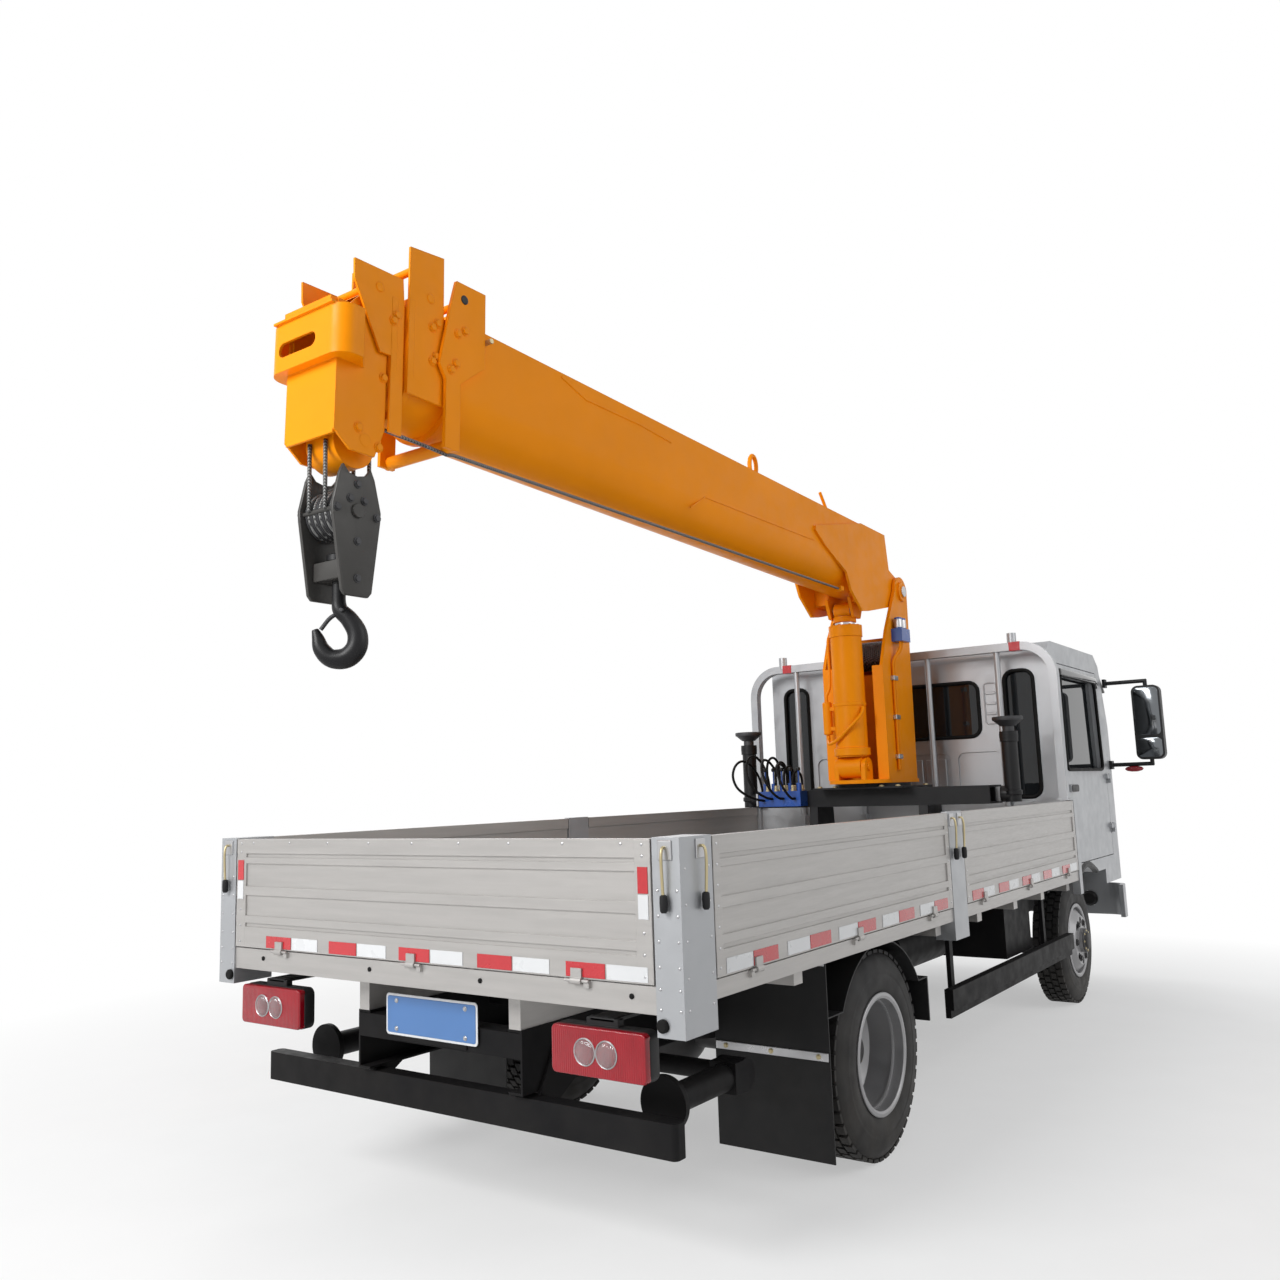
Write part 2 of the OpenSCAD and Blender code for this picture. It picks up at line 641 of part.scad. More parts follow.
module door(left) color(silver) placed() side(left) {
    difference() {
        slab_y([cab_y - cab_wall, cab_y]) difference() {
            door_outline(door_gap);
            translate([wheelbase, tyre_r]) circle(arch_r + door_gap);
        }
        slab_y([cab_y - cab_wall - 1, cab_y + 1]) door_window();
        // A hollow between the skins keeps the hinge side clear of its lugs
        for (z = door_hinge_zs)
            box([door_front - 20, door_front + 5], [cab_y - 35, cab_y + 1], [z - 50, z + 25]);
    }
    for (z = door_hinge_zs) difference() {
        union() {
            rod_z(door_front + 10, door_hinge_y, [z - 15, z + 15], door_knuckle_r);
            box([door_front - 60, door_front - door_gap], [cab_y, cab_y + 10], [z - 15, z + 15]);
            box([door_front - 60, door_front + 10], [cab_y + seat_gap, cab_y + 20], [z - 15, z + 15]);
        }
        rod_z(door_front + 10, door_hinge_y, [z - 16, z + 16], door_hinge_r + shaft_gap);
    }
    // Handle
    box([door_rear + 60, door_rear + 240], [cab_y, cab_y + 22], [1330, 1375]);
}
module door_glass(left) color(glass) placed() side(left)
    slab_y([cab_y - 40, cab_y - 40 + glass_t]) intersection() {
        door_window();
        translate([door_rear + 80 + seat_gap, belt_z + seat_gap]) square([2000, cab_top - 200 - belt_z - 2 * seat_gap]);
        translate([-2 * seat_gap, 0]) door_window();
    }

// Wheels

module tyre_profile() {
    tread = tyre_r - 33;
    half = tyre_w / 2;
    polygon([
        [rim_r + 0.2, -half + 15], [rim_r + 36, -half], [tread, -half],
        [tread, half], [rim_r + 36, half], [rim_r + 0.2, half - 15]
    ]);
    translate([rim_r + 0.2, -half + 33]) square([tyre_r - rim_r - 0.2, tyre_w - 66]);
    for (s = [-1, 1]) translate([tread, s * (half - 33)]) circle(33);
}
// A rim ring with its disc reaching y = reach from the ring's middle
module rim_profile(reach) {
    half = tyre_w / 2 - 3;
    s = sign(reach);
    translate([rim_r - 9, -half]) square([9, 2 * half]);
    for (k = [-1, 1]) translate([rim_r - 9, k * (half - 3) - 3]) square([21, 6]);
    polygon([
        [60, reach], [150, reach], [rim_r - 6, s * (half - 30)], [rim_r - 6, s * (half - 45)],
        [150, reach - s * 14], [60, reach - s * 14]
    ]);
}

module front_wheel_place(left) placed() side(left) translate([wheelbase, 0, 0]) children();
module front_tyre(left) color(black) front_wheel_place(left) wheel_turn(front_track_y) tyre_profile();
module front_rim(left) color(silver) front_wheel_place(left) difference() {
    union() {
        wheel_turn(front_track_y) rim_profile(118);
        rod_y(0, [stub_y + 4, front_track_y + 140], tyre_r, 75);
    }
    rod_y(0, [stub_y, front_track_y + 100], tyre_r, hub_bore_front + shaft_gap);
    hand_holes(front_track_y + 60, front_track_y + 140);
}
module hand_holes(y0, y1) for (a = [0:45:315])
    rod_y(125 * sin(a), [y0, y1], tyre_r + 125 * cos(a), 22);

module rear_tyres(left) color(black) placed() side(left)
    for (y = [rear_inner_y, rear_outer_y]) wheel_turn(y) tyre_profile();
module rear_rims(left) color(silver) placed() side(left) difference() {
    union() {
        wheel_turn(rear_outer_y) rim_profile(-twin_pitch / 2);
        wheel_turn(rear_inner_y) rim_profile(twin_pitch / 2);
        rod_y(0, [rear_inner_y - 60, twin_mid_y + 95], tyre_r, 80);
    }
    rod_y(0, [rear_inner_y - 61, twin_mid_y + 50], tyre_r, hub_bore_rear + shaft_gap);
    hand_holes(twin_mid_y - 30, twin_mid_y + 30);
}

module knuckle(left) color(dark) placed() side(left) translate([wheelbase, 0, 0]) {
    low = tyre_r - 95;
    high = tyre_r + 45;
    rod_z(0, kingpin_y, [low - 25, high + 25], kingpin_r);
    for (z = [[low - 25, low - seat_gap], [high + seat_gap, high + 25]]) {
        rod_z(0, kingpin_y, z, 40);
        box([-40, 40], [kingpin_y, stub_y], z);
    }
    box([-40, 40], [kingpin_y + 47, stub_y], [low - 25, high + 25]);
    rod_y(0, [stub_y - 5, front_track_y + 95], tyre_r, hub_bore_front);
}

// Crane base and outriggers

module crane_base() color(black) placed() {
    difference() {
        union() {
            box([column_x - box_w / 2, column_x + box_w / 2], [-box_half_l, box_half_l], [box_z, box_top]);
            // Deck and slewing ring
            box([column_x - 250, column_x + 250], [-290, 290], [box_top, ring_z]);
            rod_z(column_x, 0, [ring_z, ring_z + ring_h], ring_r);
            // Pedestal on the frame rails
            both() slab_y([rail_y - 28, rail_y + 28]) polygon([
                [column_x - 160, rail_top], [column_x + 160, rail_top],
                [column_x + box_w / 2, box_z], [column_x - box_w / 2, box_z]
            ]);
            box([column_x - 60, column_x + 60], [-rail_y, rail_y], [rail_top + 60, rail_top + 200]);
        }
        for (s = [-1, 1]) translate([column_x + s * (channel_w + beam_wall) / 2, 0, 0]) {
            box([-channel_w / 2, channel_w / 2], [-box_half_l + beam_pad_l, box_half_l - beam_pad_l], [box_z + beam_wall, box_top - beam_wall]);
            box([-beam_w / 2 - seat_gap, beam_w / 2 + seat_gap], [-box_half_l - 1, box_half_l + 1],
                [beam_z - beam_h / 2 - seat_gap, beam_z + beam_h / 2 + seat_gap]);
        }
    }
}
beam_pad_l = 60;
beam_hold = 830;

// The left beam runs in the rear channel and the right beam in the front one
function beam_x(left) = column_x + (left ? -1 : 1) * (channel_w + beam_wall) / 2;

module outrigger_beam(left) color(steel) placed() side(left) {
    x = beam_x(left);
    tail = box_half_l - beam_hold - outrigger_travel;
    box([x - beam_w / 2, x + beam_w / 2], [tail, beam_end], [beam_z - beam_h / 2, beam_z + beam_h / 2]);
    box([x - channel_w / 2 + seat_gap, x + channel_w / 2 - seat_gap], [tail, tail + 50],
        [box_z + beam_wall + seat_gap, box_top - beam_wall - seat_gap]);
    rod_y(x, [beam_end - 1, beam_end + leg_plate_t - 3], beam_z, leg_pin_r);
}

module outrigger_leg(left) color(black) placed() side(left) {
    x = beam_x(left);
    difference() {
        union() {
            rod_z(x, leg_y, [leg_bottom, leg_top], leg_r);
            rod_z(x, leg_y, [leg_top - 60, leg_top], leg_r + 7);
            rod_y(x, [beam_end + seat_gap, leg_y], beam_z, leg_plate_r);
        }
        rod_z(x, leg_y, [leg_floor, leg_top + 1], leg_bore_r);
        rod_y(x, [beam_end - 1, beam_end + leg_plate_t], beam_z, leg_pin_r + shaft_gap);
    }
}

module outrigger_jack(left) color(dark) placed() side(left) {
    x = beam_x(left);
    rod_z(x, leg_y, [leg_floor + 5, foot_top - foot_t], leg_bore_r - shaft_gap);
    rod_z(x, leg_y, [foot_top - foot_t, foot_top], 85);
    rod_z(x, leg_y, [foot_top - foot_t - 30, foot_top - foot_t], 45);
}

module valve_bank() color(blue) placed() {
    x = column_x - box_w / 2;
    bank = [400, 700];
    box([x - 95, x], bank, [box_z + 10, box_top]);
    for (k = [0:4]) {
        y = bank[0] + 30 + 60 * k;
        rod_z(x - 48, y, [box_top, box_top + 50], 16);
        rod_z(x - 48, y, [box_top + 50, box_top + 130], 5);
        translate([x - 48, y, box_top + 136]) sphere(r = 13);
    }
}

hose_r = 8;
module base_hoses() color(black) placed() {
    x = column_x - box_w / 2;
    // Arched hoses from the valve bank's top over to the top of the outrigger box
    for (k = [0:3]) {
        bend = 8 * hose_r + 6 * k;
        rise = 60 + 25 * k;
        translate([x - 75, 460 + 60 * k, box_top]) {
            rod_z(0, 0, [0, rise], hose_r);
            translate([bend, 0, rise]) rotate([90, 0, 0]) rotate_extrude(angle = 180)
                translate([bend, 0]) circle(hose_r);
            rod_z(2 * bend, 0, [0, rise], hose_r);
        }
    }
}

// Crane

module column() color(orange) placed() {
    slab_z([plate_z, column_z]) {
        translate([column_x - 170, -200]) square([430, 400]);
        translate([column_x - 150, 0]) circle(200);
    }
    difference() {
        both() slab_y([cheek_gap / 2, cheek_out]) {
            polygon([
                [column_x - 205, column_z], [column_x + 235, column_z], [boom_hinge_x + cheek_boss_r, boom_hinge_z],
                [boom_hinge_x - cheek_boss_r, boom_hinge_z], [column_x - 110, drum_z + 130], [column_x - 205, drum_z - 90]
            ]);
            translate([boom_hinge_x, boom_hinge_z]) circle(cheek_boss_r);
        }
    }
    both() box([column_x - 205, column_x - 180], [130, cheek_gap / 2], [column_z, drum_z - 90]);
    // Web behind the lift cylinder and plate at the front
    box([column_x - 40, column_x - 20], [-cheek_gap / 2, cheek_gap / 2], [column_z, drum_z - 130]);
    box([column_x + 214, column_x + 234], [-cheek_gap / 2, cheek_gap / 2], [column_z, boom_hinge_z - 275]);
    // Boom hinge pin
    rod_y(boom_hinge_x, [-cheek_out - 18, cheek_out + 18], boom_hinge_z, boom_pin_r);
    both() rod_y(boom_hinge_x, [cheek_out, cheek_out + 14], boom_hinge_z, 62);
    // Ears and pin of the lift cylinder's foot
    both() slab_y([72, 100]) {
        translate([lift_x - 55, column_z]) square([110, lift_z - column_z]);
        translate([lift_x, lift_z]) circle(55);
    }
    rod_y(lift_x, [-110, 110], lift_z, lift_pin_r);
    // Winch shaft
    rod_y(drum_x, [-cheek_gap / 2 - 1, cheek_gap / 2 + 1], drum_z, 28);
}

module winch_drum() color(dark) placed() difference() {
    union() {
        rod_y(drum_x, [-150, 150], drum_z, drum_r);
        both() rod_y(drum_x, [138, 155], drum_z, drum_flange_r);
    }
    rod_y(drum_x, [-156, 156], drum_z, 28 + shaft_gap);
}

module column_valve() color(blue) placed() mirror([0, 1, 0]) {
    box([column_x - 40, column_x + 90], [cheek_out, cheek_out + 70], [2290, 2370]);
    for (x = [column_x - 5, column_x + 55]) rod_z(x, cheek_out + 35, [2370, 2440], 24);
}

module lift_barrel() color(orange) placed() difference() {
    union() {
        rod_z(lift_x, 0, [lift_z + 60, lift_z + lift_barrel_l], lift_r);
        rod_z(lift_x, 0, [lift_z + lift_barrel_l - 70, lift_z + lift_barrel_l], lift_r + 6);
        rod_y(lift_x, [-72 + seat_gap, 72 - seat_gap], lift_z, 66);
    }
    rod_z(lift_x, 0, [lift_z + 110, lift_z + lift_barrel_l + 1], lift_rod_r);
    rod_y(lift_x, [-80, 80], lift_z, lift_pin_r + shaft_gap);
}

module lift_rod() color(steel) placed() difference() {
    union() {
        rod_z(lift_x, 0, [lift_z + 145, lift_z + lift_closed - 36], lift_rod_r - shaft_gap);
        rod_y(lift_x, [-55, 55], lift_z + lift_closed, lift_eye_r);
    }
    rod_y(lift_x, [-56, 56], lift_z + lift_closed, lift_pin_r + shaft_gap);
}

module on_boom() placed() translate([boom_hinge_x, 0, boom_hinge_z]) rotate([0, boom_rest, 0]) children();
module boom_outline(inset) {
    r = boom_w / 2 - inset;
    translate([-r, boom_mid]) square([2 * r, boom_roof - boom_mid - inset]);
    translate([0, boom_mid]) circle(r, $fn = 96);
}
// A tube from x = -front back to x = -back, with the wear pads that guide it and the next one
module boom_tube(level, front, back, mouth) {
    outer = level * section_step;
    difference() {
        union() {
            slab_x([-front, -back]) boom_outline(outer);
            if (level > 0) slab_x([-back - pad_l, -back]) boom_outline(outer - pad_t);
        }
        slab_x([-front + (mouth ? pad_l : -1), -back + 1]) boom_outline(outer + boom_wall);
        if (mouth) slab_x([-front - 1, -front + pad_l + 1]) boom_outline(outer + section_step - seat_gap);
    }
}
// A ring round a section's mouth
module boom_ring(level, front) {
    inset = level * section_step;
    difference() {
        slab_x([-front, -front + ring_l]) boom_outline(inset - ring_t);
        slab_x([-front - 1, -front + ring_l + 1]) boom_outline(inset + 1);
    }
}
// A pair of plates; each point is out along the boom from s and up from the hinge
module boom_plates(y, s, points) both() slab_y(y) polygon([for (p = points) [-s - p[0], p[1]]]);

// Plates at the ends of the sections
root_plate = [
    [1125, 197], [510, 345], [156, 345], [113, 126], [-20, 82], [-20, -82], [430, -185], [540, -203],
    [688, -97], [743, 1], [869, 47], [1012, 106], [1125, 170]
];
base_plate = [
    [-11, 482], [-157, 487], [-159, 200], [-38, 100], [-38, -151], [32, -151], [32, 100], [63, 147], [15, 379]
];
second_plate = [[0, 0], [0, 531], [-157, 554], [-166, 0]];
third_plate = [[162, 396], [159, 325], [46, 111], [0, 113], [0, -154], [-54, -154], [-54, 300], [-46, 405]];
head_plate = [[-249, 200], [-249, -150], [-210, -252], [-110, -252], [-45, -200], [-45, 240], [-140, 240]];
lift_cheek = [[330, -100], [520, -100], [470, -216], [380, -216]];
plate_t = 14;
thin_plate_t = 9;
tie_r = 14;
root_end = 113;

module boom_base() color(orange) on_boom() difference() {
    half = boom_w / 2;
    union() {
        difference() {
            union() {
                boom_tube(0, boom_reach, root_end, true);
                slab_x([-root_end - 10, -root_end]) boom_outline(boom_wall / 2);
            }
            // The root's end slopes out towards its roof
            slab_y([-boom_w, boom_w]) polygon([[-root_end, 126], [-root_end + 1, boom_roof + 1], [-156, boom_roof + 1]]);
        }
        boom_ring(0, boom_reach);
        boom_plates([half - 1, half + plate_t], 0, root_plate);
        boom_plates([half - 1, half + plate_t], boom_reach, base_plate);
        rod_y(-boom_reach + 84, [-half - plate_t, half + plate_t], 440, tie_r);
        // Hinge bosses and the tube between them
        both() rod_y(0, [half - 1, cheek_gap / 2 - seat_gap], 0, 85);
        rod_y(0, [-half, half], 0, 60);
        // Bracket over the lift rod's eye, open in the middle
        both() box([-lift_eye[0] - 75, -lift_eye[0] + 85], [lift_slot, half], [boom_floor - 45, boom_floor + 60]);
        boom_plates([lift_slot, lift_slot + 20], 0, lift_cheek);
        // Lifting eye on the roof
        slab_y([-10, 10]) difference() {
            translate([-1510, boom_roof + 35]) {
                circle(40);
                translate([-40, -40]) square([80, 40]);
            }
            translate([-1510, boom_roof + 40]) circle(18);
        }
        // Sight rod on the roof near the root
        translate([-530, 0, boom_roof - 4]) rotate([0, -42, 0]) cylinder(r = 8, h = 150);
        // Rope roller under the mouth
        rod_y(-boom_reach + 14, [-half - plate_t, half + plate_t], boom_floor - 45, 24);
    }
    rod_y(0, [-cheek_gap / 2, cheek_gap / 2], 0, boom_pin_r + shaft_gap);
    // The tube stays clear for the sections inside it
    slab_x([-boom_reach + pad_l, -250]) boom_outline(boom_wall);
}
lift_slot = 66;

module boom_second() color(orange) on_boom() {
    half = boom_w / 2 - section_step;
    boom_tube(1, second_front, boom_reach - boom_stroke - boom_overlap, true);
    boom_ring(1, second_front);
    boom_plates([half - 1, half + thin_plate_t - 1], second_front, second_plate);
    rod_y(-second_front + 80, [-half - thin_plate_t + 1, half + thin_plate_t - 1], 500, tie_r);
}

module boom_third() color(orange) on_boom() {
    half = boom_w / 2 - 2 * section_step;
    boom_tube(2, third_front, second_front - boom_stroke - boom_overlap, true);
    boom_ring(2, third_front);
    boom_plates([half - 1, half + thin_plate_t - 1], third_front, third_plate);
    rod_y(-third_front - 40, [-half - thin_plate_t + 1, half + thin_plate_t - 1], 365, tie_r);
}

// The head's front box seen from above, set in by d and open at its back
module head_plan(d, back) difference() {
    round_rect([-head_box + d, -head_box + 250], [-192 + d, 192 - d], 60 - d);
    translate([-head_box + back, -200]) square([260, 400]);
}
head_box = head_front - 10;

module boom_head() color(orange) on_boom() {
    half = boom_w / 2 - 3 * section_step;
    low_front = head_front - 45;
    slot_y = [-60, 128];
    slot_z = [85, 135];
    // Inner tube, its roof sloping down to the nose
    difference() {
        boom_tube(3, low_front - 10, third_front - boom_stroke - boom_overlap, false);
        slab_y([-boom_w, boom_w]) polygon([
            [-head_front + 190, boom_roof], [-head_front + 95, 243], [-head_front - 1, 243], [-head_front - 1, boom_roof]
        ]);
    }
    boom_plates([half - 1, half + thin_plate_t - 1], head_front, head_plate);
    // Front box with a slot, under a lip and a nose block
    difference() {
        slab_z([36, lip_z]) head_plan(0, 90);
        slab_z([46, lip_z - 8]) head_plan(10, 91);
        slab_x([-head_front - 1, -head_front + 40]) round_rect(slot_y, slot_z, 24);
    }
    box([-head_front, -head_front + 100], [-150, 150], [lip_z, lip_z + 8]);
    box([-head_front + 20, -head_front + 100], [-half, half], [lip_z, 243]);
    both() slab_z([36, 46]) polygon([
        [-head_front + 101, half], [-head_front + 101, 185], [-head_front + 160, half]
    ]);
    // Lower box, open below, with its sheave
    box([-low_front, -low_front + 10], [-half, half], [sheave_z - 7, 40]);
    rod_y(-sheave_x, [-half - thin_plate_t, half + thin_plate_t], sheave_z, 22);
    rod_y(-sheave_x, [-sheave_w / 2, sheave_w / 2], sheave_z, sheave_r);
}

// Hook: it hangs plumb below the head's sheave
hang_x = boom_hinge_x - sheave_x * cos(boom_rest) + sheave_z * sin(boom_rest);
hang_z = boom_hinge_z + sheave_x * sin(boom_rest) + sheave_z * cos(boom_rest);
block_top = hang_z - 80;
rope_x = sheave_r + rope_r + seat_gap;
block_h = 430;
block_gap = 152;
block_axle = 150;
swivel_z = block_top - block_h + 60;
hook_turn = -54;
module hang() placed() translate([hang_x, 0, 0]) children();

module hoist_rope() color(steel) hang() {
    both() for (s = [-1, 1]) rod_z(s * rope_x, 40, [block_top - block_axle, hang_z], rope_r);
}

module hook_block() color(dark) hang() difference() {
    union() {
        both() slab_y([block_gap / 2, block_gap / 2 + 14]) polygon([
            [-60, block_top], [60, block_top], [100, block_top - 130], [80, block_top - block_h],
            [-80, block_top - block_h], [-100, block_top - 130]
        ]);
        rod_y(0, [-block_gap / 2 - 24, block_gap / 2 + 24], block_top - block_axle, 24);
        rod_y(0, [-sheave_w / 2, sheave_w / 2], block_top - block_axle, sheave_r);
        box([-45, 45], [-block_gap / 2 - 1, block_gap / 2 + 1], [swivel_z, swivel_z + 60]);
    }
    rod_z(0, 0, [swivel_z - 1, swivel_z + 61], 22 + shaft_gap);
}

module hook() color(black) hang() rotate([0, 0, hook_turn]) {
    bowl = 62;
    bowl_z = swivel_z - 190;
    rod_z(0, 0, [swivel_z - 80, swivel_z + 60], 22);
    rod_z(0, 0, [swivel_z + 60 + seat_gap, swivel_z + 85], 40);
    rod_z(0, 0, [swivel_z + 59, swivel_z + 61 + seat_gap], 22);
    translate([0, 0, bowl_z]) mirror([1, 0, 0]) rotate([90, 0, 0]) rotate([0, 0, 90])
        rotate_extrude(angle = 270) translate([bowl, 0]) circle(24);
    translate([0, 0, bowl_z]) rod_z(0, 0, [bowl, swivel_z - 70 - bowl_z], 24);
}

// Drop sides

// A ribbed panel seen along its length, from its hinge line up; u is out, w is up
module panel_section() {
    rib_shares = [[0.223, 0.29], [0.478, 0.56], [0.772, 0.83]];
    low_rail = 0.188 * panel_h;
    top_rail = 0.134 * panel_h;
    translate([-panel_t + 8, 0]) square([panel_t - 14, panel_h]);
    translate([-panel_t, panel_h - top_rail]) square([panel_t, top_rail]);
    translate([-panel_t, 0]) square([panel_t, low_rail]);
    for (k = rib_shares) translate([-8, k[0] * panel_h]) square([8, (k[1] - k[0]) * panel_h]);
}

module tailgate() color(aluminium) placed() difference() {
    union() {
        translate([bed_rear, 0, panel_z]) mirror([1, 0, 0]) rotate([90, 0, 0]) translate([0, 0, -tail_y])
            linear_extrude(2 * tail_y) panel_section();
        for (y = tail_hinge_ys) {
            rod_y(bed_rear - drop_axis_out, [y - 20, y + 20], drop_axis_z, 10);
            box([bed_rear - drop_axis_out - 4, bed_rear + 4], [y - 20, y + 20], [drop_axis_z, panel_z + 30]);
        }
    }
    for (y = tail_hinge_ys) rod_y(bed_rear - drop_axis_out, [y - 21, y + 21], drop_axis_z, hinge_pin_r + shaft_gap);
}

module side_panel(left, span, first) color(aluminium) placed() side(left) difference() {
    union() {
        translate([span[0], bed_y, panel_z]) rotate([90, 0, 90]) linear_extrude(span[1] - span[0]) panel_section();
        for (k = [first:first + 2]) {
            rod_x([hinge_xs[k] - 20, hinge_xs[k] + 20], bed_y + drop_axis_out, drop_axis_z, 10);
            box([hinge_xs[k] - 20, hinge_xs[k] + 20], [bed_y - 4, bed_y + drop_axis_out + 4], [drop_axis_z, panel_z + 30]);
        }
    }
    for (k = [first:first + 2])
        rod_x([hinge_xs[k] - 21, hinge_xs[k] + 21], bed_y + drop_axis_out, drop_axis_z, hinge_pin_r + shaft_gap);
}

// Rear jacks, folded back level behind the wheels
rear_jack_x = -800;
rear_jack_z = 470;
rear_jack_y = 800;
rear_jack_l = 420;
rear_jack_r = 45;
rear_jack_eye = 50;
rear_jack_pin = 20;
module rear_jack(left) color(black) placed() side(left) difference() {
    union() {
        rod_x([rear_jack_x - rear_jack_l + 20, rear_jack_x - 60], rear_jack_y, rear_jack_z, rear_jack_r);
        rod_x([rear_jack_x - rear_jack_l, rear_jack_x - rear_jack_l + 20], rear_jack_y, rear_jack_z, 85);
        slab_y([rear_jack_y - rear_jack_eye, rear_jack_y + rear_jack_eye]) {
            translate([rear_jack_x, rear_jack_z]) circle(rear_jack_eye + 4);
            translate([rear_jack_x - 70, rear_jack_z - rear_jack_eye]) square([70, 2 * rear_jack_eye]);
        }
    }
    rod_y(rear_jack_x, [rear_jack_y - rear_jack_eye - 1, rear_jack_y + 21], rear_jack_z, rear_jack_pin + shaft_gap);
}

chassis_frame();
running_gear();
power_unit();
chassis_boxes();
bed_floor();
bed_posts();
header_frame();
tail_lamps();
guard_bars();
mudguards();
crane_base();
valve_bank();
base_hoses();
front_bumper();
cab_shell();
cab_glass();
cab_interior();
mirrors();
front_lamps();
roof_visor();
door(true);  // door_left
door_glass(true);  // door_left_glass
door(false);  // door_right
door_glass(false);  // door_right_glass
knuckle(true);  // knuckle_left
knuckle(false);  // knuckle_right
front_tyre(true);  // front_tyre_left
front_rim(true);  // front_rim_left
front_tyre(false);  // front_tyre_right
front_rim(false);  // front_rim_right
rear_tyres(true);  // rear_tyres_left
rear_rims(true);  // rear_rims_left
rear_tyres(false);  // rear_tyres_right
rear_rims(false);  // rear_rims_right
column();
winch_drum();
column_valve();
lift_barrel();
lift_rod();
boom_base();
boom_second();
boom_third();
boom_head();
hoist_rope();
hook_block();
hook();
outrigger_beam(true);  // outrigger_beam_left
outrigger_beam(false);  // outrigger_beam_right
outrigger_leg(true);  // outrigger_leg_left
outrigger_leg(false);  // outrigger_leg_right
outrigger_jack(true);  // outrigger_jack_left
outrigger_jack(false);  // outrigger_jack_right
tailgate();
side_panel(true, rear_panel, 0);  // side_rear_left
side_panel(false, rear_panel, 0);  // side_rear_right
side_panel(true, front_panel, 3);  // side_front_left
side_panel(false, front_panel, 3);  // side_front_right
rear_jack(true);  // rear_jack_left
rear_jack(false);  // rear_jack_right
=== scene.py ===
"""Light flatbed truck with a telescopic crane: finishes, trim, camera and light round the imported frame."""
import json
import math

import bmesh
import bpy
from mathutils import Matrix, Vector


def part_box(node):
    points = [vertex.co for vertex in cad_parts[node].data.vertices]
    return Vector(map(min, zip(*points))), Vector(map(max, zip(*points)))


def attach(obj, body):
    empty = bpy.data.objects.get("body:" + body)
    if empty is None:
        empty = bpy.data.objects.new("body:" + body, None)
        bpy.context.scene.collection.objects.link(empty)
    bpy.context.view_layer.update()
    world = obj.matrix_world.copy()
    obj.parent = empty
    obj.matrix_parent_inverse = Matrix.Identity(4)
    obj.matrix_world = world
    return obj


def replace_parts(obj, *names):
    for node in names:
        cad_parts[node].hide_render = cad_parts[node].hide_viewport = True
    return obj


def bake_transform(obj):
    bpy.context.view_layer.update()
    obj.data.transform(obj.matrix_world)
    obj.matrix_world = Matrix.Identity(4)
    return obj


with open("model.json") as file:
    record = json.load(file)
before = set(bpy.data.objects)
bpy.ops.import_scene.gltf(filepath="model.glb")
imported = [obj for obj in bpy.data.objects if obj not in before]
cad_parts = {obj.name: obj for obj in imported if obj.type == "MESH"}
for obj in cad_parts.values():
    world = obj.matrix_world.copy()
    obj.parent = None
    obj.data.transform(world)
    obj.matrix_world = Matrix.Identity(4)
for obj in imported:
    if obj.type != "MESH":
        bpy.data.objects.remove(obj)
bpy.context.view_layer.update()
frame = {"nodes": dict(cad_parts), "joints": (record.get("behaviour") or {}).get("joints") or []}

nodes = frame["nodes"]
joints = {joint["name"]: joint for joint in frame["joints"]}

# Places are millimetres from the road under the rear axle: X forward, Y left, Z up
wheel_low, wheel_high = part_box("rear_tyres_left")
AXLE_X = (wheel_low.x + wheel_high.x) / 2
AXLE_Z = 387.5
WHEELBASE = 3360
BOOM_PIVOT = Vector(joints["luff"]["pos_m"])
BOOM_REST = math.atan2(joints["telescope"]["axis"][2], -joints["telescope"]["axis"][0])
# Height of the boom's top above its hinge, square to its length
BOOM_ROOF = 345
HOOK_X = (joints["hook_hang"]["pos_m"][0] - AXLE_X) * 1000
HOOK_Z = joints["hook_hang"]["pos_m"][2] * 1000
LIFT_X = 2030
TAIL_X = -1505
SIDE_Y = 1085
CAB_REAR, CAB_FRONT, CAB_Y = 2845, 4445, 970
SIDES = (("left", 1), ("right", -1))
UP, BACK, AHEAD, LEFT = (0, 0, 1), (-1, 0, 0), (1, 0, 0), (0, 1, 0)


def at(x, y, z):
    """A point of the truck, in metres of the shared frame."""
    return Vector((x / 1000 + AXLE_X, y / 1000, z / 1000))


def on_boom(s, y, t):
    """A point of the boom: s outwards from its hinge, y to the left, t square to its length."""
    c, q = math.cos(BOOM_REST), math.sin(BOOM_REST)
    return BOOM_PIVOT + Vector((-s * c + t * q, y, s * q + t * c)) / 1000


def on_hook(x, y, z):
    """A point below the boom head, on the hoist's line."""
    return at(HOOK_X + x, y, z)


def on_turned_hook(x, y, z):
    """A point of the hook, which is turned on its swivel."""
    c, q = math.cos(math.radians(-54)), math.sin(math.radians(-54))
    return on_hook(x * c - y * q, x * q + y * c, z)


def across(s, near, far):
    """A span on one side of the truck, counted outwards from its middle."""
    return (near, far) if s > 0 else (-far, -near)


# Finishes


def add_node(tree, kind, inputs=None, **settings):
    """Adds a node with its settings, and fills or links its inputs."""
    node = tree.nodes.new(kind)
    for key, value in settings.items():
        setattr(node, key, value)
    for key, value in (inputs or {}).items():
        if isinstance(value, bpy.types.NodeSocket):
            tree.links.new(value, node.inputs[key])
        else:
            node.inputs[key].default_value = value
    return node


def new_material(name):
    material = bpy.data.materials.new(name)
    material.use_nodes = True
    tree = material.node_tree
    return material, tree, tree.nodes["Principled BSDF"]


def own_place(tree):
    """The piece's own coordinates, in metres."""
    return add_node(tree, "ShaderNodeTexCoord").outputs["Object"]


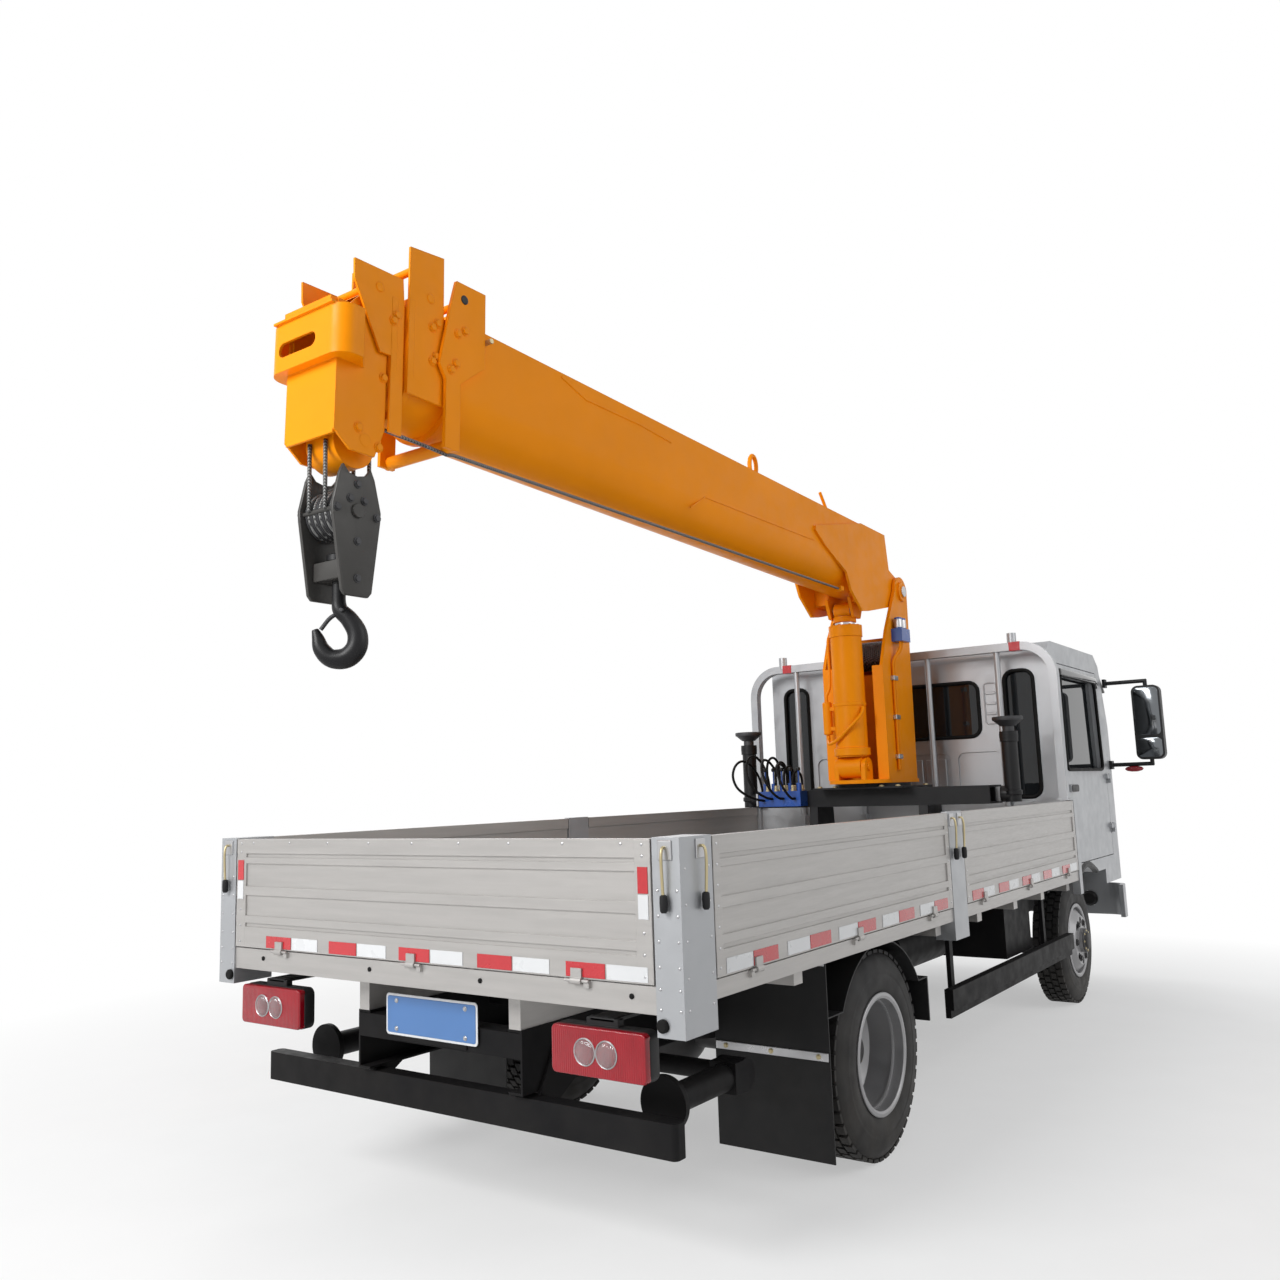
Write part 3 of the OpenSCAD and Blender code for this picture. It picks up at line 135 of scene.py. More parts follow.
def noise(tree, scale, detail=4, stretch=(1, 1, 1)):
    mapping = add_node(tree, "ShaderNodeMapping", {"Vector": own_place(tree), "Scale": stretch})
    inputs = {"Vector": mapping.outputs["Vector"], "Scale": scale, "Detail": detail}
    return add_node(tree, "ShaderNodeTexNoise", inputs).outputs["Fac"]


def spread(tree, value, low, high, first=0.3, last=0.7):
    """Maps a value between first and last to low and high."""
    inputs = {"Value": value, "From Min": first, "From Max": last, "To Min": low, "To Max": high}
    return add_node(tree, "ShaderNodeMapRange", inputs).outputs["Result"]


def mix_color(tree, factor, first, second):
    first, second = ((*tone, 1) if isinstance(tone, tuple) else tone for tone in (first, second))
    inputs = {"Factor": factor, "A": first, "B": second}
    return add_node(tree, "ShaderNodeMix", inputs, data_type="RGBA").outputs["Result"]


def work_out(tree, operation, first, second):
    return add_node(tree, "ShaderNodeMath", {0: first, 1: second}, operation=operation).outputs["Value"]


def low_down(tree, full, clear):
    """One below the height full, falling to nothing at the height clear, in metres."""
    split = add_node(tree, "ShaderNodeSeparateXYZ", {"Vector": own_place(tree)})
    return spread(tree, split.outputs["Z"], 1, 0, full, clear)


def raise_surface(tree, bsdf, height, strength, distance, edge=0.0):
    """Fine relief on a surface, with eased edges."""
    inputs = {"Height": height, "Strength": strength, "Distance": distance}
    if edge:
        inputs["Normal"] = add_node(tree, "ShaderNodeBevel", {"Radius": edge}, samples=4).outputs["Normal"]
    tree.links.new(add_node(tree, "ShaderNodeBump", inputs).outputs["Normal"], bsdf.inputs["Normal"])


def finish(name, color, rough, metallic=0.0, coat=0.0, shade=0.10, cloud=2.5, stretch=(1, 1, 1), dust=0.0,
           dust_top=1.1, bump=0.05, bump_scale=350, soft_edge=0.0025, shine=0.5):
    """Paint, metal, rubber or plastic with clouded colour, uneven gloss, road dust and eased edges."""
    material, tree, bsdf = new_material(name)
    dust_color, dust_low = (0.35, 0.31, 0.26), 0.15
    dark = tuple(c * (1 - shade) for c in color)
    light = tuple(min(1.0, c * (1 + shade * 0.6)) for c in color)
    tone = mix_color(tree, spread(tree, noise(tree, cloud, 6, stretch), 0, 1), dark, light)
    if dust:
        patches = spread(tree, noise(tree, 7, 8), 0.25 * dust, dust)
        mask = work_out(tree, "MULTIPLY", patches, low_down(tree, dust_low, dust_top))
        tone = mix_color(tree, mask, tone, dust_color)
    tree.links.new(tone, bsdf.inputs["Base Color"])
    gloss = spread(tree, noise(tree, cloud * 6, 5, stretch), max(0.03, rough - 0.07), min(1, rough + 0.1))
    tree.links.new(gloss, bsdf.inputs["Roughness"])
    bsdf.inputs["Metallic"].default_value = metallic
    bsdf.inputs["Specular IOR Level"].default_value = shine
    bsdf.inputs["Coat Weight"].default_value = coat
    bsdf.inputs["Coat Roughness"].default_value = 0.08
    raise_surface(tree, bsdf, noise(tree, bump_scale, 3, stretch), bump, 0.001, soft_edge)
    return material


def glass_finish(name, color, transmission):
    material, tree, bsdf = new_material(name)
    smear = mix_color(tree, spread(tree, noise(tree, 4, 5), 0, 1), color, tuple(c * 0.75 for c in color))
    tree.links.new(smear, bsdf.inputs["Base Color"])
    tree.links.new(spread(tree, noise(tree, 9, 4), 0, 0.02), bsdf.inputs["Roughness"])
    bsdf.inputs["Transmission Weight"].default_value = transmission
    bsdf.inputs["IOR"].default_value = 1.45
    return material


def ribbed_lens(name, color, transmission, pitch):
    """A lamp lens with fine moulded ribs."""
    material, tree, bsdf = new_material(name)
    bsdf.inputs["Roughness"].default_value = 0.1
    bsdf.inputs["Transmission Weight"].default_value = transmission
    bsdf.inputs["IOR"].default_value = 1.49
    tone = mix_color(tree, spread(tree, noise(tree, 12, 3), 0, 1), color, tuple(c * 0.8 for c in color))
    tree.links.new(tone, bsdf.inputs["Base Color"])
    inputs = {"Vector": own_place(tree), "Scale": 0.314 / pitch}
    ribs = add_node(tree, "ShaderNodeTexWave", inputs, bands_direction="Y")
    raise_surface(tree, bsdf, ribs.outputs["Color"], 0.35, 0.002)
    return material


def wire_rope(name):
    """Galvanised strands laid on the slant."""
    material, tree, bsdf = new_material(name)
    bsdf.inputs["Metallic"].default_value = 0.8
    tree.links.new(spread(tree, noise(tree, 60, 4), 0.35, 0.6), bsdf.inputs["Roughness"])
    inputs = {"Vector": own_place(tree), "Scale": 60}
    strands = add_node(tree, "ShaderNodeTexWave", inputs, bands_direction="DIAGONAL").outputs["Fac"]
    tone = mix_color(tree, strands, (0.05, 0.05, 0.05), (0.26, 0.26, 0.255))
    tree.links.new(tone, bsdf.inputs["Base Color"])
    raise_surface(tree, bsdf, strands, 0.8, 0.002)
    return material


ORANGE = finish("crane_orange_paint", (0.95, 0.295, 0.0005), 0.4, shade=0.06, bump=0.03, soft_edge=0.004,
                shine=0.14)
SILVER = finish("silver_body_paint", (0.40, 0.41, 0.425), 0.36, metallic=0.5, shade=0.04, dust=0.06,
                bump=0.0)
ALUMINIUM = finish("brushed_bed_aluminium", (0.43, 0.415, 0.40), 0.36, metallic=0.5, shade=0.06, cloud=5,
                   stretch=(0.6, 0.6, 9), bump=0.06, bump_scale=120)
BLACK = finish("chassis_black_paint", (0.006, 0.006, 0.007), 0.5, shade=0.25, dust=0.03, soft_edge=0.003,
               shine=0.1)
CRANE_BLACK = finish("crane_base_black", (0.008, 0.008, 0.009), 0.38, shade=0.25, soft_edge=0.003,
                     shine=0.25)
DARK_METAL = finish("dark_cast_metal", (0.045, 0.045, 0.048), 0.5, metallic=0.4, shade=0.3, dust=0.08,
                    bump=0.25, bump_scale=180)
BLOCK_GREY = finish("hook_block_grey", (0.052, 0.050, 0.047), 0.42, metallic=0.2, shade=0.2, bump=0.08,
                    shine=0.3)
RIM_GREY = finish("wheel_grey_paint", (0.36, 0.36, 0.37), 0.38, metallic=0.45, shade=0.12, dust=0.15,
                  bump=0.04)
STEEL = finish("machined_steel", (0.50, 0.50, 0.51), 0.3, metallic=0.9, shade=0.15, bump=0.05)
ZINC = finish("zinc_plated", (0.52, 0.44, 0.26), 0.35, metallic=0.8, shade=0.2, bump=0.05)
PLASTIC = finish("black_moulded_plastic", (0.011, 0.011, 0.012), 0.45, shade=0.2, dust=0.03, bump=0.2,
                 bump_scale=900, shine=0.25)
RUBBER = finish("black_rubber", (0.008, 0.008, 0.008), 0.6, shade=0.25, dust=0.015, bump=0.15,
                bump_scale=500, shine=0.12)
TYRE = finish("road_tyre_rubber", (0.014, 0.014, 0.015), 0.62, shade=0.3, dust=0.1, dust_top=0.9, bump=0.2,
              bump_scale=260, shine=0.25)
BLUE = finish("valve_blue_paint", (0.012, 0.075, 0.36), 0.3, coat=0.3, shade=0.12, bump=0.03)
FABRIC = finish("woven_seat_fabric", (0.05, 0.05, 0.055), 0.85, shade=0.25, bump=0.4, bump_scale=1200,
                soft_edge=0.01)
GLASS = glass_finish("tinted_window_glass", (0.035, 0.04, 0.045), 0.55)
CLEAR = ribbed_lens("clear_lamp_lens", (0.9, 0.91, 0.92), 0.85, 0.006)
RED_LENS = ribbed_lens("red_lamp_lens", (0.36, 0.002, 0.012), 0.15, 0.008)
ROPE = wire_rope("hoist_wire_rope")
RED_STRIP = finish("red_reflector_strip", (0.50, 0.012, 0.02), 0.25, shade=0.12, coat=0.6, bump=0.12,
                   bump_scale=700)
PALE_STRIP = finish("pale_reflector_strip", (0.66, 0.67, 0.68), 0.3, shade=0.06, coat=0.6, bump=0.12,
                    bump_scale=700)
PLATE_BLUE = finish("plate_blue_paint", (0.07, 0.18, 0.42), 0.35, coat=0.2, shade=0.06, bump=0.02)
# Mirror glass with a dark base colour: a painted dark reflection of the surroundings, not the brightness of
# a real mirror
DARKENED_MIRROR = finish("mirror_glass", (0.16, 0.17, 0.18), 0.07, metallic=1.0, shade=0.03, bump=0.0)
SMOKED = finish("smoked_visor", (0.02, 0.02, 0.022), 0.12, coat=0.8, shade=0.1, bump=0.01)

NODE_FINISH = [
    (BLACK, ["chassis_frame", "guard_bars", "rear_jack_left", "rear_jack_right", "chassis_boxes"]),
    (CRANE_BLACK, ["crane_base", "outrigger_leg_left", "outrigger_leg_right", "hook"]),
    (DARK_METAL, ["running_gear", "power_unit", "knuckle_left", "knuckle_right", "winch_drum",
                  "outrigger_jack_left", "outrigger_jack_right"]),
    (BLOCK_GREY, ["hook_block"]),
    (ORANGE, ["column", "lift_barrel", "boom_base", "boom_second", "boom_third", "boom_head"]),
    (SILVER, ["cab_shell", "door_left", "door_right", "front_bumper", "bed_posts", "header_frame"]),
    (RIM_GREY, ["front_rim_left", "front_rim_right", "rear_rims_left", "rear_rims_right"]),
    (ALUMINIUM, ["bed_floor", "tailgate", "side_rear_left", "side_rear_right", "side_front_left",
                 "side_front_right"]),
    (STEEL, ["lift_rod", "outrigger_beam_left", "outrigger_beam_right"]),
    (ROPE, ["hoist_rope"]),
    (RED_LENS, ["tail_lamps"]),
    (CLEAR, ["front_lamps"]),
    (PLASTIC, ["mudguards", "mirrors", "roof_visor"]),
    (RUBBER, ["base_hoses"]),
    (TYRE, ["front_tyre_left", "front_tyre_right", "rear_tyres_left", "rear_tyres_right"]),
    (BLUE, ["valve_bank", "column_valve"]),
    (GLASS, ["cab_glass", "door_left_glass", "door_right_glass"]),
    (FABRIC, ["cab_interior"]),
]
for used, names in NODE_FINISH:
    for name in names:
        nodes[name].data.materials.clear()
        nodes[name].data.materials.append(used)


# Camera at the photograph's viewpoint


def make_camera():
    focal_px, frame_px, sensor = 1080.2, 1280, 36.0
    yaw, pitch, roll = (math.radians(a) for a in (35.56, 8.00, -1.84))
    forward = Vector((math.cos(yaw) * math.cos(pitch), math.sin(yaw) * math.cos(pitch), math.sin(pitch)))
    level = Vector((math.sin(yaw), -math.cos(yaw), 0))
    upright = level.cross(forward)
    right = level * math.cos(roll) + upright * math.sin(roll)
    up = upright * math.cos(roll) - level * math.sin(roll)
    data = bpy.data.cameras.new("photo_camera")
    data.sensor_fit = "HORIZONTAL"
    data.sensor_width = sensor
    data.lens = focal_px / frame_px * sensor
    camera = bpy.data.objects.new("photo_camera", data)
    place = Matrix((right, up, -forward)).transposed().to_4x4()
    place.translation = at(-4053, -2795, 1417)
    camera.matrix_world = place
    bpy.context.scene.collection.objects.link(camera)
    bpy.context.scene.camera = camera


make_camera()


# Shape tools


def turns(count):
    """Equal angles round a circle."""
    return [2 * math.pi * k / count for k in range(count)]


def ring(middle, first, second, radius, sides):
    """Points of a circle in the plane of two directions."""
    return [middle + (first * math.cos(a) + second * math.sin(a)) * radius for a in turns(sides)]


class Shape:
    """Solids of one finish, drawn in millimetres and joined into one piece."""

    def __init__(self, place=at):
        self.mesh = bmesh.new()
        self.place = place

    def ease(self, faces, width, steps):
        """Turns new faces outwards and rounds their sharp edges."""
        bmesh.ops.recalc_face_normals(self.mesh, faces=faces)
        if not width:
            return
        edges = {edge for face in faces for edge in face.edges}
        sharp = [edge for edge in edges if edge.is_manifold and edge.calc_face_angle() > 0.5]
        bmesh.ops.bevel(self.mesh, geom=sharp, offset=width, segments=steps, profile=0.5, affect="EDGES",
                        clamp_overlap=True)

    def skin(self, rings, closed=False, width=0, steps=1):
        """Joins a row of point rings; the ends are capped unless the row closes on itself."""
        made = [[self.mesh.verts.new(point) for point in points] for points in rings]
        count = len(made[0])
        pairs = list(zip(made, made[1:]))
        if closed:
            pairs.append((made[-1], made[0]))
        faces = []
        for first, second in pairs:
            for k in range(count):
                after = (k + 1) % count
                faces.append(self.mesh.faces.new((first[k], first[after], second[after], second[k])))
        if not closed:
            faces.append(self.mesh.faces.new(made[0]))
            faces.append(self.mesh.faces.new(made[-1][::-1]))
        self.ease(faces, width, steps)
        return self

    def prism(self, points, span, axis="y", width=1.5, steps=1):
        """A flat outline drawn out along one axis."""
        order = {"x": (2, 0, 1), "y": (0, 2, 1), "z": (0, 1, 2)}[axis]
        rings = [[[(u, v, depth)[k] for k in order] for u, v in points] for depth in span]
        return self.skin(rings, width=width, steps=steps)

    def box(self, x, y, z, width=1.5, steps=1):
        return self.prism([(x[0], y[0]), (x[1], y[0]), (x[1], y[1]), (x[0], y[1])], z, "z", width, steps)

    def turned(self, profile, origin, axis, sides=32, closed=False):
        """Turns a profile of (radius, place along the axis) round an axis through origin."""
        origin, axis = Vector(origin), Vector(axis).normalized()
        first = axis.orthogonal().normalized()
        second = axis.cross(first)
        rings = [ring(origin + axis * along, first, second, radius, sides) for radius, along in profile]
        return self.skin(rings, closed=closed)

    def rod(self, start, end, radius, sides=20, bevel=1.5):
        start, end = Vector(start), Vector(end)
        length = (end - start).length
        profile = [(radius - bevel, 0), (radius, bevel), (radius, length - bevel), (radius - bevel, length)]
        return self.turned(profile, start, end - start, sides)

    def tube(self, points, radius, sides=10):
        """A round bar or pipe along a path; radius may be a list along it."""
        path = [Vector(point) for point in points]
        radii = radius if isinstance(radius, (list, tuple)) else [radius] * len(path)
        side = (path[1] - path[0]).normalized().orthogonal().normalized()
        rings = []
        for k, point in enumerate(path):
            along = (path[min(k + 1, len(path) - 1)] - path[max(k - 1, 0)]).normalized()
            side = (side - along * side.dot(along)).normalized()
            rings.append(ring(point, side, along.cross(side), radii[k], sides))
        return self.skin(rings)

    def loop(self, points, radius, sides=10):
        """A round bar along a flat closed path."""
        path = [Vector(point) for point in points]
        square = (path[1] - path[0]).cross(path[len(path) // 3] - path[0]).normalized()
        rings = []
        for before, point, after in zip(path[-1:] + path[:-1], path, path[1:] + path[:1]):
            rings.append(ring(point, square, (after - before).cross(square).normalized(), radius, sides))
        return self.skin(rings, closed=True)

    def done(self, name, body, used, sharp=32):
        """Sets the piece in its place, shades it, and lets it ride on its body."""
        for vertex in self.mesh.verts:
            vertex.co = self.place(*vertex.co)
        bmesh.ops.recalc_face_normals(self.mesh, faces=self.mesh.faces)
        data = bpy.data.meshes.new(name)
        self.mesh.to_mesh(data)
        self.mesh.free()
        return finished(name, data, body, used, sharp)


def finished(name, data, body, used, sharp=32):
    """A piece with its finish, on its body when it is given one."""
    data.materials.clear()
    data.materials.append(used)
    data.shade_smooth()
    data.set_sharp_from_angle(angle=math.radians(sharp))
    piece = bpy.data.objects.new(name, data)
    bpy.context.scene.collection.objects.link(piece)
    if body:
        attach(piece, body)
    return piece


def taut_rope(name, place, lines, radius):
    """Straight ropes between given ends, made as one piece on no body."""
    rope = Shape(place)
    for first, last in lines:
        rope.rod(first, last, radius)
    piece = rope.done(name, None, ROPE, 60)
    ends = [sum((place(*line[k]) for line in lines), Vector()) / len(lines) for k in (0, 1)]
    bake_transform(piece)
    return piece


def smooth_path(points, steps=6):
    """A curve through all the points."""
    path = [Vector(point) for point in points]
    ends = [2 * path[0] - path[1], *path, 2 * path[-1] - path[-2]]
    curve = []
    for a, b, c, d in zip(ends, ends[1:], ends[2:], ends[3:]):
        for k in range(steps):
            u = k / steps
            bend = (2 * a - 5 * b + 4 * c - d) * u ** 2 + (3 * b - a - 3 * c + d) * u ** 3
            curve.append(0.5 * (2 * b + (c - a) * u + bend))
    curve.append(path[-1])
    return curve


def round_corners(x, y, radius, steps=5):
    """A rectangle's outline with rounded corners."""
    corners = [(x[1] - radius, y[1] - radius, 0), (x[0] + radius, y[1] - radius, 90),
               (x[0] + radius, y[0] + radius, 180), (x[1] - radius, y[0] + radius, 270)]
    outline = []
    for u, v, start in corners:
        for k in range(steps + 1):
            a = math.radians(start + 90 * k / steps)
            outline.append((u + radius * math.cos(a), v + radius * math.sin(a)))
    return outline


def eased(points, radius, steps=4):
    """An outline with its corners rounded."""
    path = [Vector(point) for point in points]
    outline = []
    for before, corner, after in zip(path[-1:] + path[:-1], path, path[1:] + path[:1]):
        start = corner + (before - corner).normalized() * radius
        end = corner + (after - corner).normalized() * radius
        for k in range(steps + 1):
            u = k / steps
            outline.append(start * (1 - u) ** 2 + corner * 2 * u * (1 - u) + end * u ** 2)
    return outline


# Geometry node trees for what repeats


def new_tree(name, inputs):
    """An empty tree with named number inputs; returns it with its input sockets and its end."""
    tree = bpy.data.node_groups.new(name, "GeometryNodeTree")
    tree.interface.new_socket("Geometry", in_out="INPUT", socket_type="NodeSocketGeometry")
    for label, value in inputs:
        kind = "NodeSocketInt" if isinstance(value, int) else "NodeSocketFloat"
        tree.interface.new_socket(label, in_out="INPUT", socket_type=kind).default_value = value
    tree.interface.new_socket("Geometry", in_out="OUTPUT", socket_type="NodeSocketGeometry")
    return tree, tree.nodes.new("NodeGroupInput").outputs, tree.nodes.new("NodeGroupOutput")


def end_tree(tree, geometry, out, material):
    """Closes a tree with Realize Instances and Set Material."""
    real = add_node(tree, "GeometryNodeRealizeInstances", {"Geometry": geometry})
    inputs = {"Geometry": real.outputs["Geometry"], "Material": material}
    paint = add_node(tree, "GeometryNodeSetMaterial", inputs)
    tree.links.new(paint.outputs["Geometry"], out.inputs["Geometry"])
    return tree


def vector(tree, **parts):
    return add_node(tree, "ShaderNodeCombineXYZ", parts).outputs["Vector"]


def moved(tree, geometry, **how):
    """Moves, turns or scales geometry."""
    inputs = {"Geometry": geometry, **{key.capitalize(): value for key, value in how.items()}}
    return add_node(tree, "GeometryNodeTransform", inputs).outputs["Geometry"]


def copies_on(tree, points, mesh, rotation=(0, 0, 0)):
    inputs = {"Points": points, "Instance": mesh, "Rotation": rotation}
    return add_node(tree, "GeometryNodeInstanceOnPoints", inputs).outputs["Instances"]


def along_out(tree, mesh, points):
    """Puts a mesh on points, its Z along each point's attribute out."""
    out = add_node(tree, "GeometryNodeInputNamedAttribute", {"Name": "out"}, data_type="FLOAT_VECTOR")
    inputs = {"Vector": out.outputs["Attribute"]}
    turn = add_node(tree, "FunctionNodeAlignRotationToVector", inputs, axis="Z")
    return copies_on(tree, points, mesh, turn.outputs["Rotation"])


def bolt_tree(material):
    """A hexagon head over a round washer, half sunk, on each point."""
    sizes = [("Head Radius", 0.01), ("Head Height", 0.008), ("Washer Radius", 0.014),
             ("Washer Height", 0.003)]
    tree, ends, out = new_tree("hexagon_bolts", sizes)
    join = add_node(tree, "GeometryNodeJoinGeometry")
    for sides, label in ((6, "Head"), (18, "Washer")):
        inputs = {"Vertices": sides, "Radius": ends[f"{label} Radius"], "Depth": ends[f"{label} Height"]}
        solid = add_node(tree, "GeometryNodeMeshCylinder", inputs)
        tree.links.new(solid.outputs["Mesh"], join.inputs["Geometry"])
    return end_tree(tree, along_out(tree, join.outputs["Geometry"], ends["Geometry"]), out, material)


def rivet_tree(material):
    """A low dome on each point."""
    tree, ends, out = new_tree("dome_rivets", [("Radius", 0.004)])
    inputs = {"Segments": 10, "Rings": 6, "Radius": ends["Radius"]}
    dome = add_node(tree, "GeometryNodeMeshUVSphere", inputs)
    flat = moved(tree, dome.outputs["Mesh"], scale=(1, 1, 0.5))
    return end_tree(tree, along_out(tree, flat, ends["Geometry"]), out, material)


def tread_tree(material):
    """Rows of blocks round a tyre that turns about Z."""
    sizes = [("Blocks", 48), ("Radius", 0.3805), ("Width", 0.148), ("Length", 0.036), ("Depth", 0.013)]
    tree, ends, out = new_tree("tread_blocks", sizes)
    join = add_node(tree, "GeometryNodeJoinGeometry")
    # Middle of the row and its width as shares of the tread, and its shift as a share of the pitch
    rows = ((-0.38, 0.21, 0), (-0.13, 0.19, 0.5), (0.13, 0.19, 0), (0.38, 0.21, 0.5))
    for middle, share, shift in rows:
        circle = {"Vertices": ends["Blocks"], "Radius": ends["Radius"]}
        points = add_node(tree, "GeometryNodeMeshCircle", circle).outputs["Mesh"]
        wide = work_out(tree, "MULTIPLY", ends["Width"], share)
        size = vector(tree, X=wide, Y=ends["Length"], Z=ends["Depth"])
        block = add_node(tree, "GeometryNodeMeshCube", {"Size": size})
        level = add_node(tree, "FunctionNodeAlignRotationToVector", {"Vector": UP}, axis="X")
        spot = add_node(tree, "GeometryNodeInputPosition")
        inputs = {"Vector": spot.outputs["Position"], "Rotation": level.outputs["Rotation"]}
        outwards = add_node(tree, "FunctionNodeAlignRotationToVector", inputs, axis="Z", pivot_axis="X")
        blocks = copies_on(tree, points, block.outputs["Mesh"], outwards.outputs["Rotation"])
        rise = work_out(tree, "MULTIPLY", ends["Width"], middle)
        blocks = moved(tree, blocks, translation=vector(tree, Z=rise))
        step = work_out(tree, "DIVIDE", 2 * math.pi * shift, ends["Blocks"])
        tree.links.new(moved(tree, blocks, rotation=vector(tree, Z=step)), join.inputs["Geometry"])
    return end_tree(tree, join.outputs["Geometry"], out, material)


def coil_tree(material):
    """Rope wound side by side on a drum along Z."""
    sizes = [("Turns", 20.0), ("Radius", 0.087), ("Length", 0.27), ("Rope", 0.0065)]
    tree, ends, out = new_tree("drum_rope", sizes)
    inputs = {"Resolution": 28, "Rotations": ends["Turns"], "Start Radius": ends["Radius"],
              "End Radius": ends["Radius"], "Height": ends["Length"]}
    wind = add_node(tree, "GeometryNodeCurveSpiral", inputs)
    section = add_node(tree, "GeometryNodeCurvePrimitiveCircle", {"Resolution": 8, "Radius": ends["Rope"]})
    inputs = {"Fill Caps": True, "Curve": wind.outputs["Curve"], "Profile Curve": section.outputs["Curve"]}
    rope = add_node(tree, "GeometryNodeCurveToMesh", inputs)
    return end_tree(tree, rope.outputs["Mesh"], out, material)


def slat_tree(material):
    """Equal slats with rounded noses, one above another."""
    sizes = [("Slats", 6), ("Pitch", 0.04), ("Length", 0.9), ("Depth", 0.03), ("Height", 0.022)]
    tree, ends, out = new_tree("grille_slats", sizes)
    inputs = {"Count": ends["Slats"], "Offset": vector(tree, Z=ends["Pitch"])}
    line = add_node(tree, "GeometryNodeMeshLine", inputs)
    bar = add_node(tree, "GeometryNodeMeshCylinder", {"Vertices": 12, "Radius": 0.5, "Depth": 1})
    size = vector(tree, X=ends["Height"], Y=ends["Depth"], Z=ends["Length"])
    slat = moved(tree, bar.outputs["Mesh"], scale=size)
    slat = moved(tree, slat, rotation=(math.pi / 2, 0, math.pi / 2))
    slat = moved(tree, slat, rotation=(0, 0, math.pi / 2))
    return end_tree(tree, copies_on(tree, line.outputs["Mesh"], slat), out, material)


def from_tree(name, tree, body, used, spots=(), place=None, **sizes):
    """Runs a tree on spots of (point, out), turns the result into a plain mesh and places it."""
    base = bpy.data.meshes.new(name + "_points")
    base.from_pydata([point for point, out in spots], [], [])
    if spots:
        field = base.attributes.new("out", "FLOAT_VECTOR", "POINT")
        for k, (point, out) in enumerate(spots):
            field.data[k].vector = out
    holder = bpy.data.objects.new(name + "_points", base)
    bpy.context.scene.collection.objects.link(holder)
    modifier = holder.modifiers.new("tree", "NODES")
    modifier.node_group = tree
    for item in tree.interface.items_tree:
        key = item.name.lower().replace(" ", "_")
        if item.in_out == "INPUT" and key in sizes:
            modifier[item.identifier] = sizes[key]
    ready = holder.evaluated_get(bpy.context.evaluated_depsgraph_get())
    data = bpy.data.meshes.new_from_object(ready)
    data.name = name
    bpy.data.objects.remove(holder)
    if place:
        data.transform(place)
    return finished(name, data, body, used)


def placed(spots, place):
    """Spots of (point, out) in millimetres, in the shared frame."""
    origin = place(0, 0, 0)
    return [(place(*point), (place(*out) - origin).normalized()) for point, out in spots]


def bolts(name, body, spots, radius=10, place=at, used=ZINC):
    """Hexagon bolts at (point, out) in millimetres."""
    sizes = {"head_radius": 1, "head_height": 1.5, "washer_radius": 1.35, "washer_height": 0.5}
    sizes = {key: radius * share / 1000 for key, share in sizes.items()}
    return from_tree(name, BOLTS[used.name], body, used, placed(spots, place), **sizes)


def rivets(name, body, spots):
    return from_tree(name, RIVETS, body, STEEL, placed(spots, at), radius=0.005)


def ring_spots(origin, radius, count, axis):
    """Bolt places round a circle square to Y or Z."""
    spots = []
    for a in turns(count):
        u, v = radius * math.cos(a), radius * math.sin(a)
        offset = (u, 0, v) if abs(axis[1]) else (u, v, 0)
        spots.append(([c + d for c, d in zip(origin, offset)], axis))
    return spots


BOLTS = {used.name: bolt_tree(used) for used in (ZINC, STEEL, ORANGE, CRANE_BLACK, DARK_METAL)}
RIVETS = rivet_tree(STEEL)
TREAD = tread_tree(TYRE)
WOUND_ROPE = coil_tree(ROPE)
GRILLE = slat_tree(PLASTIC)


# Trim of the truck


def make_hoses():
    """Hydraulic hoses round the valve bank and the crane's base box."""
    start_x, foot_z, hose_r = 2113, 1392, 8
    collars = Shape()
    for k in range(4):
        y, rise, bend = 460 + 60 * k, 60 + 25 * k, 64 + 6 * k
        path = [(start_x, y, foot_z + rise * j / 4) for j in range(4)]
        for j in range(25):
            a = math.pi * j / 24
            path.append((start_x + bend - bend * math.cos(a), y, foot_z + rise + bend * math.sin(a)))
        path += [(start_x + 2 * bend, y, foot_z + rise * (3 - j) / 4) for j in range(4)]
        hose = Shape().tube(path, hose_r, 14).done(f"base_hose_{k + 1}", "chassis", RUBBER, 60)
        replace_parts(hose, "base_hoses")
        for x in (start_x, start_x + 2 * bend):
            collars.turned([(14, 0), (14, 12), (11, 14), (11, 34), (9, 37)], (x, y, foot_z), UP, 12)
    collars.done("hose_collars", "chassis", ZINC)
    # Loops from the bank's rear face over to the base box, as points
    loops = (
        [(2093, 440, 1345), (2040, 440, 1350), (1990, 455, 1400), (1975, 480, 1470), (2000, 505, 1535),
         (2060, 520, 1565), (2130, 528, 1545), (2190, 530, 1490), (2225, 530, 1430), (2230, 530, 1392)],
        [(2093, 520, 1345), (2030, 520, 1352), (1965, 535, 1395), (1935, 560, 1465), (1955, 590, 1540),
         (2020, 610, 1590), (2100, 615, 1580), (2180, 612, 1520), (2222, 608, 1450), (2230, 605, 1392)],
        [(2093, 600, 1345), (2020, 602, 1355), (1940, 620, 1390), (1895, 645, 1450), (1900, 670, 1530),
         (1960, 688, 1600), (2050, 695, 1620), (2140, 695, 1580), (2205, 692, 1500), (2235, 690, 1392)],
        [(2093, 660, 1335), (2010, 665, 1345), (1920, 690, 1375), (1860, 720, 1425), (1850, 740, 1495),
         (1900, 748, 1560), (1990, 750, 1590), (2090, 748, 1565), (2180, 742, 1490), (2215, 735, 1392)],
    )
    for k, points in enumerate(loops):
        path = smooth_path(points)
        hose = Shape().tube(path, hose_r, 14).done(f"bank_hose_{k + 1}", "chassis", RUBBER, 60)


